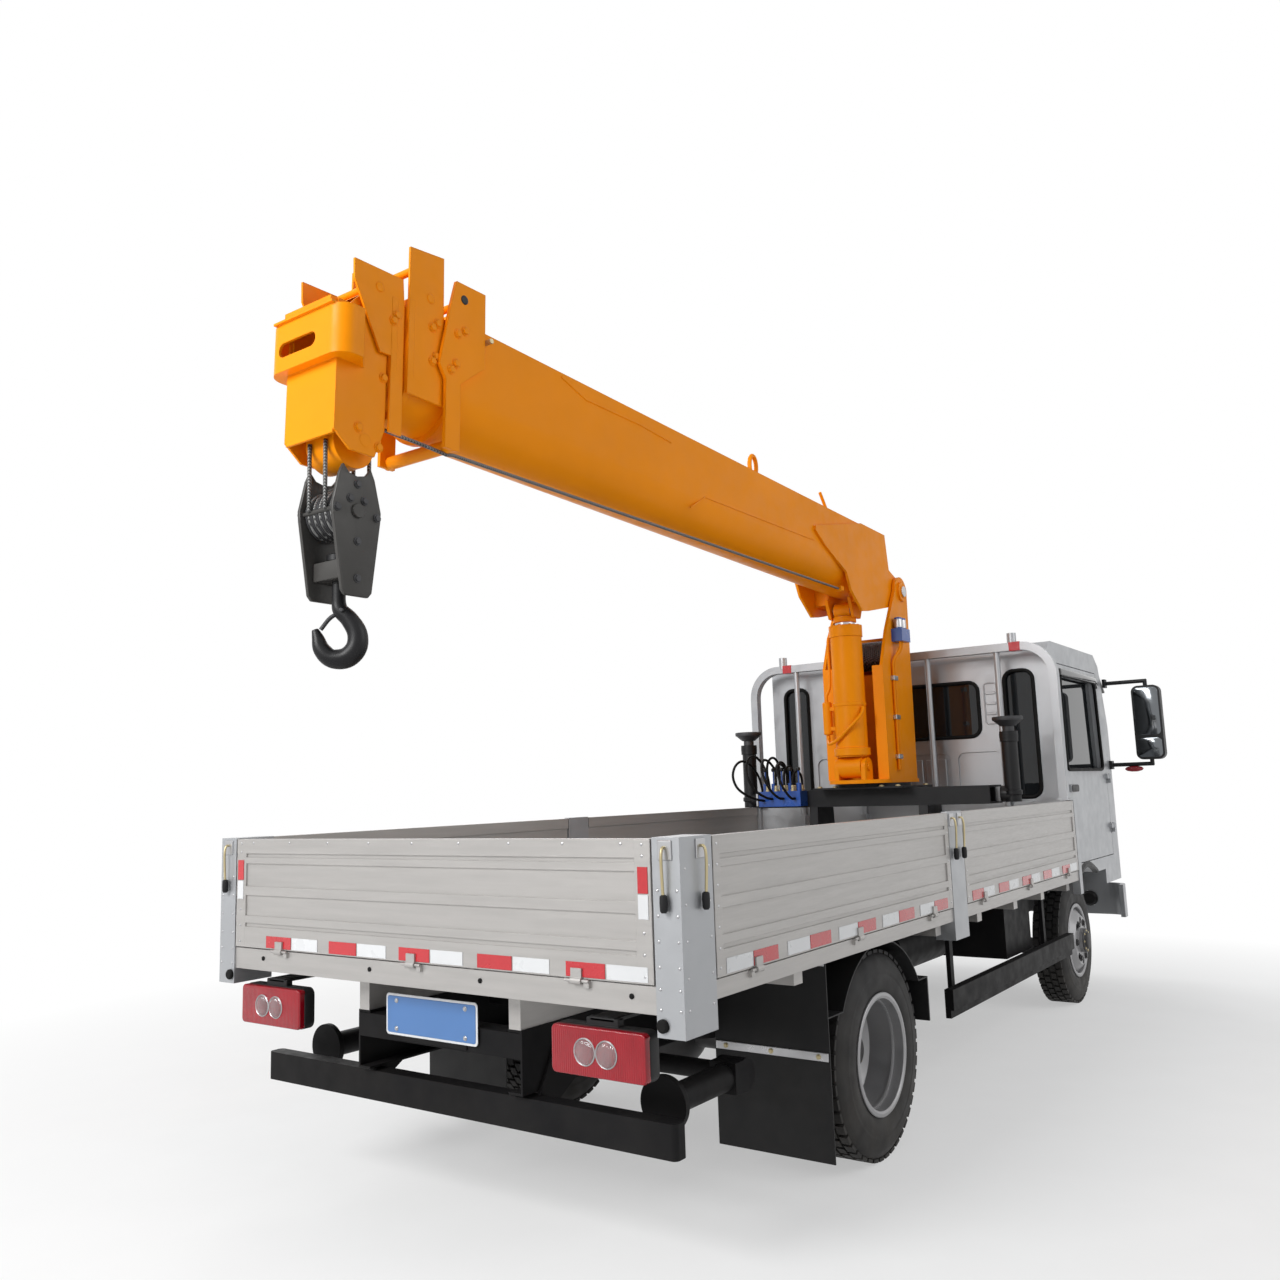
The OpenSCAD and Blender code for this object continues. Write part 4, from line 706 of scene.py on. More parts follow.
def dress_tailgate():
    """Reflector strips, end stiles and rivets of the tailgate."""
    red, pale, stile = Shape(), Shape(), Shape()
    strip_z, face, proud = (884, 927), (TAIL_X - 2, TAIL_X + 1), (TAIL_X - 2.5, TAIL_X)
    for k in range(5):
        y = 791 - 364 * k
        red.box(face, (y - 147, y), strip_z, 0.6)
        pale.box(face, (y - 300, y - 153), strip_z, 0.6)
    spots = []
    for name, s in SIDES:
        stile.box((TAIL_X - 0.5, TAIL_X + 8), across(s, 926, 983.5), (881, 1283), 2)
        red.box(proud, across(s, 938, 974), (1130, 1205), 0.6)
        pale.box(proud, across(s, 938, 974), (1058, 1127), 0.6)
        spots += [((TAIL_X - 0.5, s * 955, z), BACK) for z in (900, 960, 1020, 1235, 1268)]
    red.done("tailgate_red_strips", "tailgate", RED_STRIP)
    pale.done("tailgate_pale_strips", "tailgate", PALE_STRIP)
    stile.done("tailgate_stiles", "tailgate", ALUMINIUM)
    spots += [((TAIL_X, -880 + 220 * k, 1270), BACK) for k in range(9)]
    rivets("tailgate_rivets", "tailgate", spots)


def dress_sides():
    """Reflector strips, end stiles and rivets of the four side panels."""
    strip_z, pitch, strip_gap, stile_w = (885, 929), 375, 4, 40
    # Panel, its ends, first strip, length of a strip, first strip red
    panels = (("rear", (-1331, 599), -1280, 154, False), ("front", (781, 2694), 850, 150, True))
    for name, s in SIDES:
        face = across(s, SIDE_Y - 1, SIDE_Y + 2)
        for part, ends, first, long, red_first in panels:
            body = f"side_{part}_{name}"
            red, pale, stile = Shape(), Shape(), Shape()
            one, two = (red, pale) if red_first else (pale, red)
            for k in range(5):
                x = first + pitch * k
                one.box((x, x + long), face, strip_z, 0.6)
                two.box((x + long + strip_gap, x + 2 * long + strip_gap), face, strip_z, 0.6)
            for x in (ends[0] + 0.5, ends[1] - stile_w - 0.5):
                stile.box((x, x + stile_w), across(s, SIDE_Y - 8, SIDE_Y + 0.5), (881, 1283), 2)
            red.done(body + "_red_strips", body, RED_STRIP)
            pale.done(body + "_pale_strips", body, PALE_STRIP)
            stile.done(body + "_stiles", body, ALUMINIUM)
            spots = [((x, s * (SIDE_Y + 0.5), z), (0, s, 0)) for x in (ends[0] + 20, ends[1] - 20)
                     for z in (905, 960, 1020, 1080, 1140, 1200, 1260)]
            rivets(body + "_rivets", body, spots)


def make_latches():
    """Spring latches with hanging grips on the posts."""
    rods, grips, plates = Shape(), Shape(), Shape()
    top, fall = 1258, 150

    def latch(x, y, out):
        """One latch on the face whose outward direction is out."""
        way = Vector(out)
        base = Vector((x, y, top))
        sag = Vector((0, 0, -fall))
        path = [base - way * 2, base + way * 14, base + way * 21 + sag * 0.18, base + way * 19 + sag * 0.6,
                base + way * 15 + sag]
        rods.tube(smooth_path(path), 4.5, 10)
        grips.turned([(6, 0), (11, 4), (12, 22), (11, 44), (7, 50)], base + way * 15 + sag * 0.85, sag, 16)
        side = Vector(UP).cross(way) * 24
        low, high = base - side - way, base + side + way * 5
        plates.box(sorted((low.x, high.x)), sorted((low.y, high.y)), (top - 34, top + 22), 2)

    for name, s in SIDES:
        latch(TAIL_X, s * 1036, BACK)
        for x in (-1400, 640, 740):
            latch(x, s * SIDE_Y, (0, s, 0))
    rods.done("latch_rods", "chassis", ZINC, 60)
    grips.done("latch_grips", "chassis", PLASTIC)
    plates.done("latch_plates", "chassis", STEEL)


def dress_posts():
    """Stops, plugs and rivets of the rear sill and the posts."""
    stops, spots = Shape(), []
    for name, s in SIDES:
        stops.turned([(19, 0), (19, 8), (14, 13)], (TAIL_X, s * 1012, 773), BACK, 20)
        heights = (815, 870, 930, 1000, 1070, 1140)
        spots += [((TAIL_X, s * y, z), BACK) for y in (1005, 1072) for z in heights]
        heights = (815, 900, 1000, 1100, 1200)
        spots += [((x, s * SIDE_Y, z), (0, s, 0)) for x in (-1480, -1355) for z in heights]
    for y in (815, 217, -307, -901):
        stops.turned([(8, 0), (8, 3), (5, 5)], (TAIL_X + 6, y, 843), BACK, 14)
    stops.done("bed_stops", "chassis", RUBBER)
    rivets("post_rivets", "chassis", spots)


def make_tail_lamps():
    """Rear lamp clusters and the blank number plate."""
    housing, lens, clear, rims = Shape(), Shape(), Shape(), Shape()
    low, high = 600, 745
    bulb = [(37, 0), (37, 3), (32, 8), (22, 12), (8, 14)]
    rim = [(36, 0), (40, 0), (40, 4), (38, 6), (36, 4)]
    for name, s in SIDES:
        mid = s * 770
        outline = round_corners((mid - 175, mid + 175), (low, high), 26)
        housing.prism(outline, (TAIL_X + 24, TAIL_X + 74), "x", 7, 3)
        housing.box((TAIL_X + 32, TAIL_X + 60), (mid - 60, mid + 60), (high - 4, high + 22), 3)
        housing.box((TAIL_X + 32, TAIL_X + 230), (mid - 45, mid + 45), (high + 12, high + 24), 2)
        outline = round_corners((mid - 173, mid + 173), (low + 3, high - 3), 16)
        lens.prism(outline, (TAIL_X + 5, TAIL_X + 34), "x", 5, 3)
        for y in (mid - 34, mid + 46):
            middle = (TAIL_X + 7, y, (low + high) / 2)
            clear.turned(bulb, middle, BACK, 32)
            rims.turned(rim, middle, BACK, 32, True)
    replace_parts(housing.done("tail_lamp_housings", "chassis", PLASTIC), "tail_lamps")
    lens.done("tail_lamp_red_lenses", "chassis", RED_LENS)
    clear.done("tail_lamp_clear_lenses", "chassis", CLEAR)
    rims.done("tail_lamp_rims", "chassis", STEEL)
    plate_y, plate_z, plate_x = (-205, 235), (612, 751), -1406
    bracket = Shape().box((plate_x, plate_x + 8), (-150, 180), (595, 740), 2)
    bracket.done("plate_bracket", "chassis", BLACK)
    border = Shape().prism(round_corners(plate_y, plate_z, 14), (plate_x - 3, plate_x), "x", 1)
    border.done("plate_border", "chassis", PALE_STRIP)
    inner = round_corners((plate_y[0] + 8, plate_y[1] - 8), (plate_z[0] + 8, plate_z[1] - 8), 9)
    Shape().prism(inner, (plate_x - 4.5, plate_x - 2), "x", 1).done("plate_face", "chassis", PLATE_BLUE)
    spots = [((plate_x - 4.5, y, z), BACK) for y in (-150, 180) for z in (635, 728)]
    bolts("plate_screws", "chassis", spots, 6, used=STEEL)


def dress_flaps():
    """Clamp strips of the rear mudflaps."""
    strips, spots = Shape(), []
    for name, s in SIDES:
        for z in (475, 800):
            strips.box((-489, -484), across(s, 536, 998), (z - 15, z + 15), 1.5)
            spots += [((-489, s * y, z), BACK) for y in (580, 770, 960)]
    strips.done("flap_strips", "chassis", STEEL)
    bolts("flap_bolts", "chassis", spots, 7)


# Wheels

# Radius and half width of the sidewall, from the bead to the shoulder
SIDEWALL = ((216, 80), (222, 88), (250, 96), (268, 97.5), (290, 97), (299, 95), (304, 96.5), (309, 94.5),
            (340, 92), (356, 86), (366, 80), (374, 74))


def make_tyre(name, body, x, y, node):
    profile = [*SIDEWALL, (377, 66), (377, -66), *[(r, -w) for r, w in reversed(SIDEWALL)]]
    carcass = Shape().turned(profile, (x, y, AXLE_Z), LEFT, 112, True)
    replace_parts(carcass.done(name + "_carcass", body, TYRE, 40), node)
    place = Matrix.Translation(at(x, y, AXLE_Z)) @ Matrix.Rotation(-math.pi / 2, 4, "X")
    from_tree(name + "_tread", TREAD, body, TYRE, place=place, blocks=46, radius=0.381, width=0.160,
              length=0.038, depth=0.013)


def make_wheels():
    """Tyres, wheel nuts, hub caps and rim lips."""
    front_y, twin_y, nut_r = 780, (640, 890), 118
    lip_edge = [(205, -4), (226, -1), (228, 3), (225, 6), (214, 7), (206, 2)]
    lip_step = [(196, -46), (207, -44), (207, -38), (198, -36)]
    for name, s in SIDES:
        out = (0, s, 0)
        front, rear = f"front_wheel_{name}", f"rear_wheels_{name}"
        make_tyre(f"front_tyre_{name}", front, WHEELBASE, s * front_y, f"front_tyre_{name}")
        for place, y in zip(("inner", "outer"), twin_y):
            make_tyre(f"rear_tyre_{place}_{name}", rear, 0, s * y, f"rear_tyres_{name}")
        # Body, axle, disc face, hub end, hub radius, wheel middle
        wheels = ((front, WHEELBASE, 898, 920, 74, front_y), (rear, 0, 779, 860, 79, twin_y[1]))
        for body, x, face, hub, hub_r, middle in wheels:
            spots = ring_spots((x, s * face, AXLE_Z), nut_r, 6, out)
            bolts(body + "_nuts", body, spots, 16, used=DARK_METAL)
            cap = [(hub_r, -2), (hub_r + 1, 4), (hub_r - 6, 9), (hub_r - 22, 10), (hub_r - 26, 22),
                   (hub_r - 34, 26)]
            Shape().turned(cap, (x, s * hub, AXLE_Z), out, 40).done(body + "_hub_cap", body, DARK_METAL)
            spots = ring_spots((x, s * (hub + 9), AXLE_Z), hub_r - 13, 8, out)
            bolts(body + "_hub_bolts", body, spots, 6)
            lip = Shape()
            for profile in (lip_edge, lip_step):
                lip.turned(profile, (x, s * (middle + 92), AXLE_Z), out, 96, True)
            lip.done(body + "_rim_lip", body, RIM_GREY)


# Crane


def dress_boom():
    """Weld seams, bolts, plugs, a black disc painted as the shade of an open hole, lifting eye and sight rod
    on the boom, and the rope below it.
    """
    seam_r, rope_r = 4, 6.5
    upper = [(3325, 326), (3166, 281), (2787, 288), (2544, 276)]
    lower = [(2390, 5), (2265, 85), (1130, 113)]
    welds = Shape(on_boom)
    for side in (160.5, -160.5):
        for line in (upper, lower):
            welds.tube([(s, side, t) for s, t in line], seam_r, 8)
    welds.done("boom_weld_seams", "boom_base", ORANGE, 60)
    # Body, outer face of its end plate, bolts, plugs; on the boom base the plug is a black disc, painted
    # shade of an open hole
    plates = (
        ("boom_third", 140, ((4178, 240), (4164, 264)), ((4240, 336),)),
        ("boom_second", 154, ((4015, 274), (3992, 296), (4012, 150), (3996, 172)), ((4026, 377),)),
        ("boom_base", 174, ((3912, 283), (3876, 306), (3942, 139), (3918, 169)), ((3882, 424),)),
        ("boom_head", 126, ((4203, 30), (4300, -170), (4215, -215)), ()),
    )
    for body, face, heads, plugs in plates:
        spots = [((s, side * face, t), (0, side, 0)) for side in (1, -1) for s, t in heads]
        bolts(body + "_plate_bolts", body, spots, 13, on_boom, ORANGE)
        if plugs:
            discs = Shape(on_boom)
            for side in (1, -1):
                for s, t in plugs:
                    discs.turned([(17, -1), (17, 2), (12, 4)], (s, side * face, t), (0, side, 0), 20)
            # On the boom base the disc is black: painted shade standing for the dark inside of an open hole
            discs.done(body + "_plugs", body, CRANE_BLACK if body == "boom_base" else ORANGE)
    pins = Shape(on_boom)
    for side in (1, -1):
        pins.rod((3760, side * 160, 307), (3760, side * 196, 307), 10)
    pins.done("boom_side_pins", "boom_base", ZINC)
    line = [(3918, -130, -158), (3880, -130, -150), (2200, -130, -122), (760, -130, -100)]
    Shape(on_boom).tube(line, rope_r, 10).done("boom_rope", "boom_base", ROPE, 60)
    sections = ["boom_base", "boom_second", "boom_third", "boom_head"]
    stops = [(3916, -130, -157), (4010, -124, -150), (4180, -112, -142), (4290, -100, -135)]
    for k in range(3):
        taut_rope(f"{sections[k + 1]}_rope", on_boom, [stops[k:k + 2]], rope_r)
    guide = Shape(on_boom).box((735, 775), (-150, -112), (-112, -84), 3)
    guide.done("boom_rope_guide", "boom_base", ORANGE)
    eye_s, base = 1510, BOOM_ROOF - 4
    # Place of the sight rod, its length, and its slope as parts of that length
    rod_s, rod_l, slope_s, slope_t = 530, 250, 0.669, 0.743
    eyes = Shape(on_boom)
    foot = [(eye_s - 50, BOOM_ROOF - 2), (eye_s + 50, BOOM_ROOF - 2), (eye_s + 43, BOOM_ROOF + 90),
            (eye_s - 43, BOOM_ROOF + 90)]
    eyes.prism(foot, (-13, 13), "y", 3, 2)
    hoop = [(eye_s + 36 * math.cos(a), 0, BOOM_ROOF + 130 + 58 * math.sin(a)) for a in turns(24)]
    eyes.loop(hoop, 12, 12)
    eyes.rod((rod_s, 0, base), (rod_s + slope_s * rod_l, 0, base + slope_t * rod_l), 9.5)
    eyes.done("boom_lifting_eyes", "boom_base", ORANGE)
    caps = Shape()
    for name, s in SIDES:
        caps.turned([(34, -2), (34, 5), (24, 9)], (2460, s * 218, 2630), (0, s, 0), 28)
    caps.done("boom_hinge_caps", "column", STEEL)


def make_hook_block():
    """Block plates, grooved sheaves with their rope, the falls of rope, cross bars and the swivel's box."""
    top = HOOK_Z - 80
    axle, bottom, swivel = top - 150, top - 430, top - 370
    half = [(56, top), (72, top - 34), (98, top - 140), (96, top - 172), (60, bottom + 16), (46, bottom)]
    notch = [(-34, top - 26), (0, top - 34), (34, top - 26)]
    outline = notch + half + [(-x, z) for x, z in reversed(half)]
    plates = Shape(on_hook)
    for name, s in SIDES:
        plates.prism(outline, across(s, 76, 90), "y", 3, 2)
    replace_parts(plates.done("hook_block_plates", "hook_block", BLOCK_GREY), "hook_block")
    sheaves, rope = Shape(on_hook), Shape(on_hook)
    count, width = 5, 28
    groove = [(60, 1), (82, 1), (82, 5), (72, 11), (72, 17), (82, 23), (82, 27), (60, 27)]
    wrap = [(77 + 6 * math.cos(a), 14 + 6 * math.sin(a)) for a in turns(10)]
    for k in range(count):
        left = (0, -count * width / 2 + width * k, axle)
        sheaves.turned(groove, left, LEFT, 48)
        rope.turned(wrap, left, LEFT, 48, True)
    sheaves.done("hook_block_sheaves", "hook_block", DARK_METAL)
    rope.done("hook_block_rope", "hook_block", ROPE, 60)
    fall_x, fall_y = 89.3, 40
    falls = [((x, y, HOOK_Z), (x, y, axle)) for x in (-fall_x, fall_x) for y in (-fall_y, fall_y)]
    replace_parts(taut_rope("hoist_falls", on_hook, falls, 7), "hoist_rope")
    bars = Shape(on_hook)
    cross_bars = ((-80, top - 150), (80, top - 160), (0, top - 60))
    for x, z in cross_bars:
        bars.rod((x, -77, z), (x, 77, z), 8)
    bars.rod((0, -100, axle), (0, 100, axle), 24)
    bars.done("hook_block_bars", "hook_block", BLOCK_GREY)
    box = Shape(on_hook).prism(round_corners((-48, 48), (-77, 77), 14), (swivel, swivel + 62), "z", 4, 2)
    box.done("hook_block_swivel_box", "hook_block", BLOCK_GREY)
    heads = (*cross_bars, (28, top - 112), (-30, top - 112), (0, top - 250), (0, top - 372))
    spots = [((x, s * 90, z), (0, s, 0)) for name, s in SIDES for x, z in heads]
    bolts("hook_block_bolts", "hook_block", spots, 11, on_hook, DARK_METAL)


def make_hook():
    """A forged hook with its safety latch."""
    swivel = HOOK_Z - 450
    bowl = swivel - 190
    # Place across and up from the bowl's middle, and thickness
    line = ((0, 180, 22), (0, 130, 22), (6, 96, 26), (34, 66, 29), (60, 20, 32), (58, -28, 34),
            (26, -60, 34), (-22, -60, 31), (-54, -30, 27), (-66, 6, 20), (-76, 34, 11))
    path = smooth_path([(x, 0, bowl + z) for x, z, r in line])
    sizes = [p.x for p in smooth_path([(r, 0, 0) for x, z, r in line])]
    hook = Shape(on_turned_hook).tube(path, sizes, 24)
    hook.turned([(22, -82), (22, 58), (22, 64), (40, 65), (40, 84), (34, 88)], (0, 0, swivel), UP, 32)
    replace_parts(hook.done("forged_hook", "hook", CRANE_BLACK, 50), "hook")
    latch = Shape(on_turned_hook)
    latch.tube(smooth_path([(20, 0, bowl + 92), (-24, 0, bowl + 74), (-58, 0, bowl + 34)]), 7, 10)
    latch.rod((16, -34, bowl + 92), (16, 34, bowl + 92), 7)
    latch.done("hook_latch", "hook", DARK_METAL)


def dress_column():
    """Winch rope, valve caps, pipes down the column, and the lift cylinder's fittings."""
    place = Matrix.Translation(at(2390, -134, 2225)) @ Matrix.Rotation(-math.pi / 2, 4, "X")
    from_tree("winch_rope", WOUND_ROPE, "winch_drum", ROPE, place=place, turns=19.5, radius=0.087,
              length=0.268, rope=0.0065)
    caps, pipes, clamps = Shape(), Shape(), Shape()
    for x in (2295, 2355):
        caps.turned([(26, 0), (26, 46), (22, 58), (12, 66), (5, 68)], (x, -235, 2378), UP, 28)
    caps.done("column_valve_caps", "column", STEEL)
    for k, x in enumerate((2225, 2250)):
        line = [(2285 + 30 * k, -245, 2292), (2280 + 25 * k, -240, 2240), (x + 4, -216, 2170),
                (x, -212, 2080), (x, -212, 1700), (x, -212, 1500)]
        pipes.tube(smooth_path(line), 8, 12)
    for z in (2060, 1820, 1580):
        clamps.box((2205, 2270), (-224, -198), (z - 14, z + 14), 3)
    pipes.done("column_pipes", "column", ORANGE, 60)
    clamps.done("column_pipe_clamps", "column", STEEL)
    barrel = Shape()
    barrel.turned([(95, 0), (108, 4), (108, 46), (95, 50)], (LIFT_X, 0, 1590), UP, 48)
    barrel.turned([(95, 0), (99, 3), (99, 22), (95, 25)], (LIFT_X, 0, 1890), UP, 48)
    barrel.turned([(22, 0), (28, 6), (28, 194), (22, 200)], (2000, 137, 1725), UP, 28)
    for z in (1760, 1880):
        barrel.box((1985, 2015), (80, 120), (z - 12, z + 12), 2)
    riser = [(2000, 137, 1920), (2000, 137, 1960), (2006, 118, 2010), (2008, 112, 2080), (2008, 112, 2290),
             (2018, 98, 2345)]
    barrel.tube(smooth_path(riser), 9, 12)
    sweep = [(2000, 137, 1730), (1994, 135, 1695), (1950, 108, 1668), (1922, 40, 1690), (1920, -30, 1750),
             (1946, -86, 1810), (1975, -104, 1850), (1996, -100, 1880)]
    barrel.tube(smooth_path(sweep), 10, 12)
    barrel.done("lift_cylinder_fittings", "lift_barrel", ORANGE)
    eye = Shape().turned([(60, 0), (69, 4), (69, 36), (60, 40)], (LIFT_X, 0, 2403), UP, 48)
    eye.turned([(45, -54), (48, -51), (48, 51), (45, 54)], (LIFT_X, 0, 2479), LEFT, 40)
    eye.done("lift_rod_eye_paint", "lift_rod", ORANGE)
    spots = ring_spots((LIFT_X, 0, 2384), 81, 8, UP)
    bolts("lift_cylinder_bolts", "lift_barrel", spots, 8, used=ORANGE)


def dress_base():
    """Bolts of the crane base, outrigger collars and lever knobs."""
    leg_x, leg_y = {"left": 2246, "right": 2354}, 843
    spots = [((x, y, 1404), UP) for x in (2080, 2520) for y in (-255, -150, 150, 255)]
    bolts("base_bolts", "chassis", spots, 13)
    knobs = Shape()
    for k in range(5):
        knobs.turned([(4, -12), (12, -8), (14, 2), (11, 11), (4, 14)], (2140, 430 + 60 * k, 1528), UP, 20)
    knobs.done("lever_knobs", "chassis", PLASTIC)
    for name, s in SIDES:
        x, y = leg_x[name], s * leg_y
        collar = Shape()
        for z in (1330, 1660):
            collar.turned([(45, 0), (53, 3), (53, 27), (45, 30)], (x, y, z), UP, 40)
        collar.done(f"outrigger_collars_{name}", f"outrigger_leg_{name}", CRANE_BLACK)
        profile = [(44, 0), (48, 4), (80, 32), (87, 38), (87, 52), (84, 55)]
        foot = Shape().turned(profile, (x, y, 1731), UP, 48)
        foot.done(f"outrigger_foot_{name}", f"outrigger_jack_{name}", DARK_METAL)


# Cab


def dress_cab():
    """Window seals, visor, handles, wheel arch lips, rear ribs and vent, wipers, and mirror glass darkened
    as a painted dark reflection.
    """
    seals = Shape()
    openings = [round_corners((-520, 520), (1700, 2050), 60)]
    openings += [round_corners(across(s, 690, 870), (1310, 2100), 60) for name, s in SIDES]
    for outline in openings:
        seals.loop([(CAB_REAR - 2, y, z) for y, z in outline], 12, 10)
    low, high, half = (4389, 1448), (4138, 2178), 805
    corners = ((low, -half), (low, half), (high, half), (high, -half))
    seals.loop(eased([(x, y, z) for (x, z), y in corners], 90), 13, 10)
    seals.done("cab_window_seals", "cab", RUBBER, 60)
    window = eased([(3085, 1470), (4020, 1470), (3965, 2075), (3085, 2075)], 50)
    shade = [(3058, 2070), (3940, 2070), (3992, 2030), (4016, 2044), (3974, 2104), (3958, 2112),
             (3058, 2112)]
    arch_r, arch_start, arch_sweep, arch_steps = 470, 61.5, 57, 32
    # Radius and distance from the truck's middle
    arch_lip = ((arch_r - 6, 948), (arch_r - 6, 982), (arch_r + 12, 984), (arch_r + 30, 968))
    repeater = [(4, -62), (14, -50), (20, -20), (20, 20), (13, 48), (4, 58)]
    arches = Shape()
    for name, s in SIDES:
        door = f"door_{name}"
        seal = Shape().loop([(x, s * (CAB_Y + 1), z) for x, z in window], 11, 10)
        seal.done(door + "_seal", door, RUBBER, 60)
        grip = round_corners((3066, 3244), (1329, 1376), 16)
        handle = Shape().prism(grip, across(s, CAB_Y - 1, CAB_Y + 24), "y", 6, 3)
        handle.done(door + "_handle", door, PLASTIC)
        rain = Shape().prism(shade, across(s, CAB_Y - 1, CAB_Y + 20), "y", 8, 3)
        rain.done(door + "_rain_shade", door, SMOKED)
        rings = []
        for k in range(arch_steps + 1):
            a = math.radians(arch_start + arch_sweep * k / arch_steps)
            along, up = math.cos(a), math.sin(a)
            rings.append([(WHEELBASE + r * along, s * y, AXLE_Z + r * up) for r, y in arch_lip])
        arches.skin(rings)
        # Two mirror panes a side, in the darkened mirror finish that paints a dark reflection
        for z in ((1700, 2036), (1546, 1680)):
            pane = round_corners(across(s, 1172, 1333), z, 30)
            Shape().prism(pane, (4206, 4212), "x", 2, 2).done(f"mirror_glass_{name}_{z[0]}", "cab", DARKENED_MIRROR)
        lamp = Shape().turned(repeater, (4250, s * 1130, 1468), (0, s, 0), 24)
        lamp.done(f"repeater_{name}", "cab", RED_LENS)
    arches.done("wheel_arch_lips", "cab", PLASTIC)
    visor = [(4077, 2238), (4170, 2206), (4252, 2160), (4330, 2104), (4398, 2047), (4402, 2034),
             (4393, 2026), (4322, 2082), (4244, 2136), (4165, 2176), (4136, 2184), (4130, 2202)]
    smoked = Shape().prism(visor, (-945, 945), "y", 4, 2)
    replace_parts(smoked.done("smoked_roof_visor", "cab", SMOKED), "roof_visor")
    ribs = Shape()
    for name, s in SIDES:
        for k in range(3):
            span = across(s, 62 + 80 * k, 118 + 80 * k)
            ribs.box((CAB_REAR + 3, CAB_REAR + 13), span, (1215, 1565), 4)
    vent = round_corners((-640, -560), (1775, 2035), 18)
    ribs.loop([(CAB_REAR, y, z) for y, z in vent], 5, 10)
    for z in (1840, 1905, 1970):
        ribs.box((CAB_REAR - 6, CAB_REAR + 2), (-632, -568), (z - 9, z + 9), 3)
    ribs.done("cab_rear_ribs", "cab", SILVER)
    wipers = Shape()
    for y in (-420, 330):
        foot, tip = Vector((4412, y, 1400)), Vector((4300, y + 330, 1742))
        arm = [foot, foot.lerp(tip, 0.5) + Vector((24, 0, 8)), tip + Vector((10, 0, 4))]
        wipers.tube(smooth_path(arm, 5), 8, 8)
        blade = [tip + Vector(offset) for offset in ((20, -260, -66), (10, 0, 0), (0, 230, 60))]
        wipers.tube(blade, 9, 8)
    wipers.done("wipers", "cab", PLASTIC)


def dress_front():
    """Headlamps, fog lamps and grille."""
    bezels, lenses, lamps, cups, fog = Shape(), Shape(), Shape(), Shape(), Shape()
    for name, s in SIDES:
        bezel = round_corners(across(s, 518, 782), (758, 932), 42)
        bezels.prism(bezel, (CAB_FRONT - 1, CAB_FRONT + 14), "x", 5, 2)
        lens = round_corners(across(s, 528, 772), (768, 922), 36)
        lenses.prism(lens, (CAB_FRONT + 10, CAB_FRONT + 24), "x", 8, 3)
        for y in (590, 712):
            bowl = [(52, 0), (56, 2), (52, 5), (40, 2), (20, 1)]
            lamps.turned(bowl, (CAB_FRONT + 12, s * y, 845), AHEAD, 32)
        fog_place = (4490, s * 700, 540)
        cups.turned([(40, -58), (54, -40), (54, -4), (46, -2), (44, -10)], fog_place, AHEAD, 32)
        fog.turned([(45, -12), (45, -9), (30, -5), (10, -4)], fog_place, AHEAD, 32)
    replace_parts(lenses.done("headlamp_lenses", "cab", CLEAR), "front_lamps")
    bezels.done("headlamp_bezels", "cab", PLASTIC)
    lamps.done("headlamp_bowls", "cab", STEEL)
    cups.done("fog_lamp_cups", "chassis", PLASTIC)
    fog.done("fog_lamp_lenses", "chassis", CLEAR)
    place = Matrix.Translation(at(CAB_FRONT + 6, 0, 800))
    from_tree("grille_slats", GRILLE, "cab", PLASTIC, place=place, slats=8, pitch=0.038, length=0.92,
              depth=0.03, height=0.024)


def cushion(middle, half, tilt=0.0):
    """A full cushion: a rounded block whose faces swell."""
    power, rows, sides = 0.45, 24, 48
    lift = Matrix.Rotation(tilt, 3, "Y")

    def swell(value):
        return math.copysign(abs(value) ** power, value)

    rings = []
    for j in range(1, rows):
        v = -math.pi / 2 + math.pi * j / rows
        flat, rise = swell(math.cos(v)), half[2] * swell(math.sin(v))
        row = []
        for u in turns(sides):
            point = Vector((half[0] * flat * swell(math.cos(u)), half[1] * flat * swell(math.sin(u)), rise))
            row.append(Vector(middle) + lift @ point)
        rings.append(row)
    return Shape().skin(rings)


def make_cab_inside():
    """Padded seats on their box, dashboard and steering wheel."""
    floor = 930
    seat_box = Shape().box((CAB_REAR + 130, CAB_REAR + 640), (-800, 800), (floor, floor + 120), 12, 3)
    seat_box.done("seat_box", "cab", PLASTIC)
    for k, y in enumerate((-540, 0, 540)):
        seat = cushion((CAB_REAR + 380, y, floor + 180), (250, 238, 82))
        back = cushion((CAB_REAR + 168, y, floor + 520), (62, 236, 320), -0.12)
        for part, padding in (("cushion", seat), ("back", back)):
            padding.done(f"seat_{part}_{k + 1}", "cab", FABRIC, 80)
    dash = [(4028, 1160), (4028, 1360), (4060, 1402), (4200, 1412), (4332, 1400), (4335, 1160),
            (4300, 1150), (4060, 1150)]
    board = Shape().prism(dash, (-848, 848), "y", 14, 3)
    board.box((4145, 4330), (-300, 300), (floor, 1165), 12, 3)
    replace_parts(board.done("dashboard", "cab", PLASTIC), "cab_interior")
    middle, lean = Vector((CAB_FRONT - 540, 540, 1390)), math.radians(-35)
    axis = Vector((math.sin(lean), 0, math.cos(lean)))
    wheel = Shape()
    wheel.turned([(200 + 15 * math.cos(a), 15 * math.sin(a)) for a in turns(12)], middle, axis, 56, True)
    wheel.turned([(30, -258), (30, -20), (54, -18), (58, 4), (48, 18), (20, 22)], middle, axis, 32)
    for turn in (90, 210, 330):
        way = Matrix.Rotation(math.radians(turn), 3, axis) @ Vector(LEFT)
        wheel.tube([middle + way * 40, middle + way * 196], [20, 13], 12)
    wheel.done("steering_wheel", "cab", PLASTIC, 50)


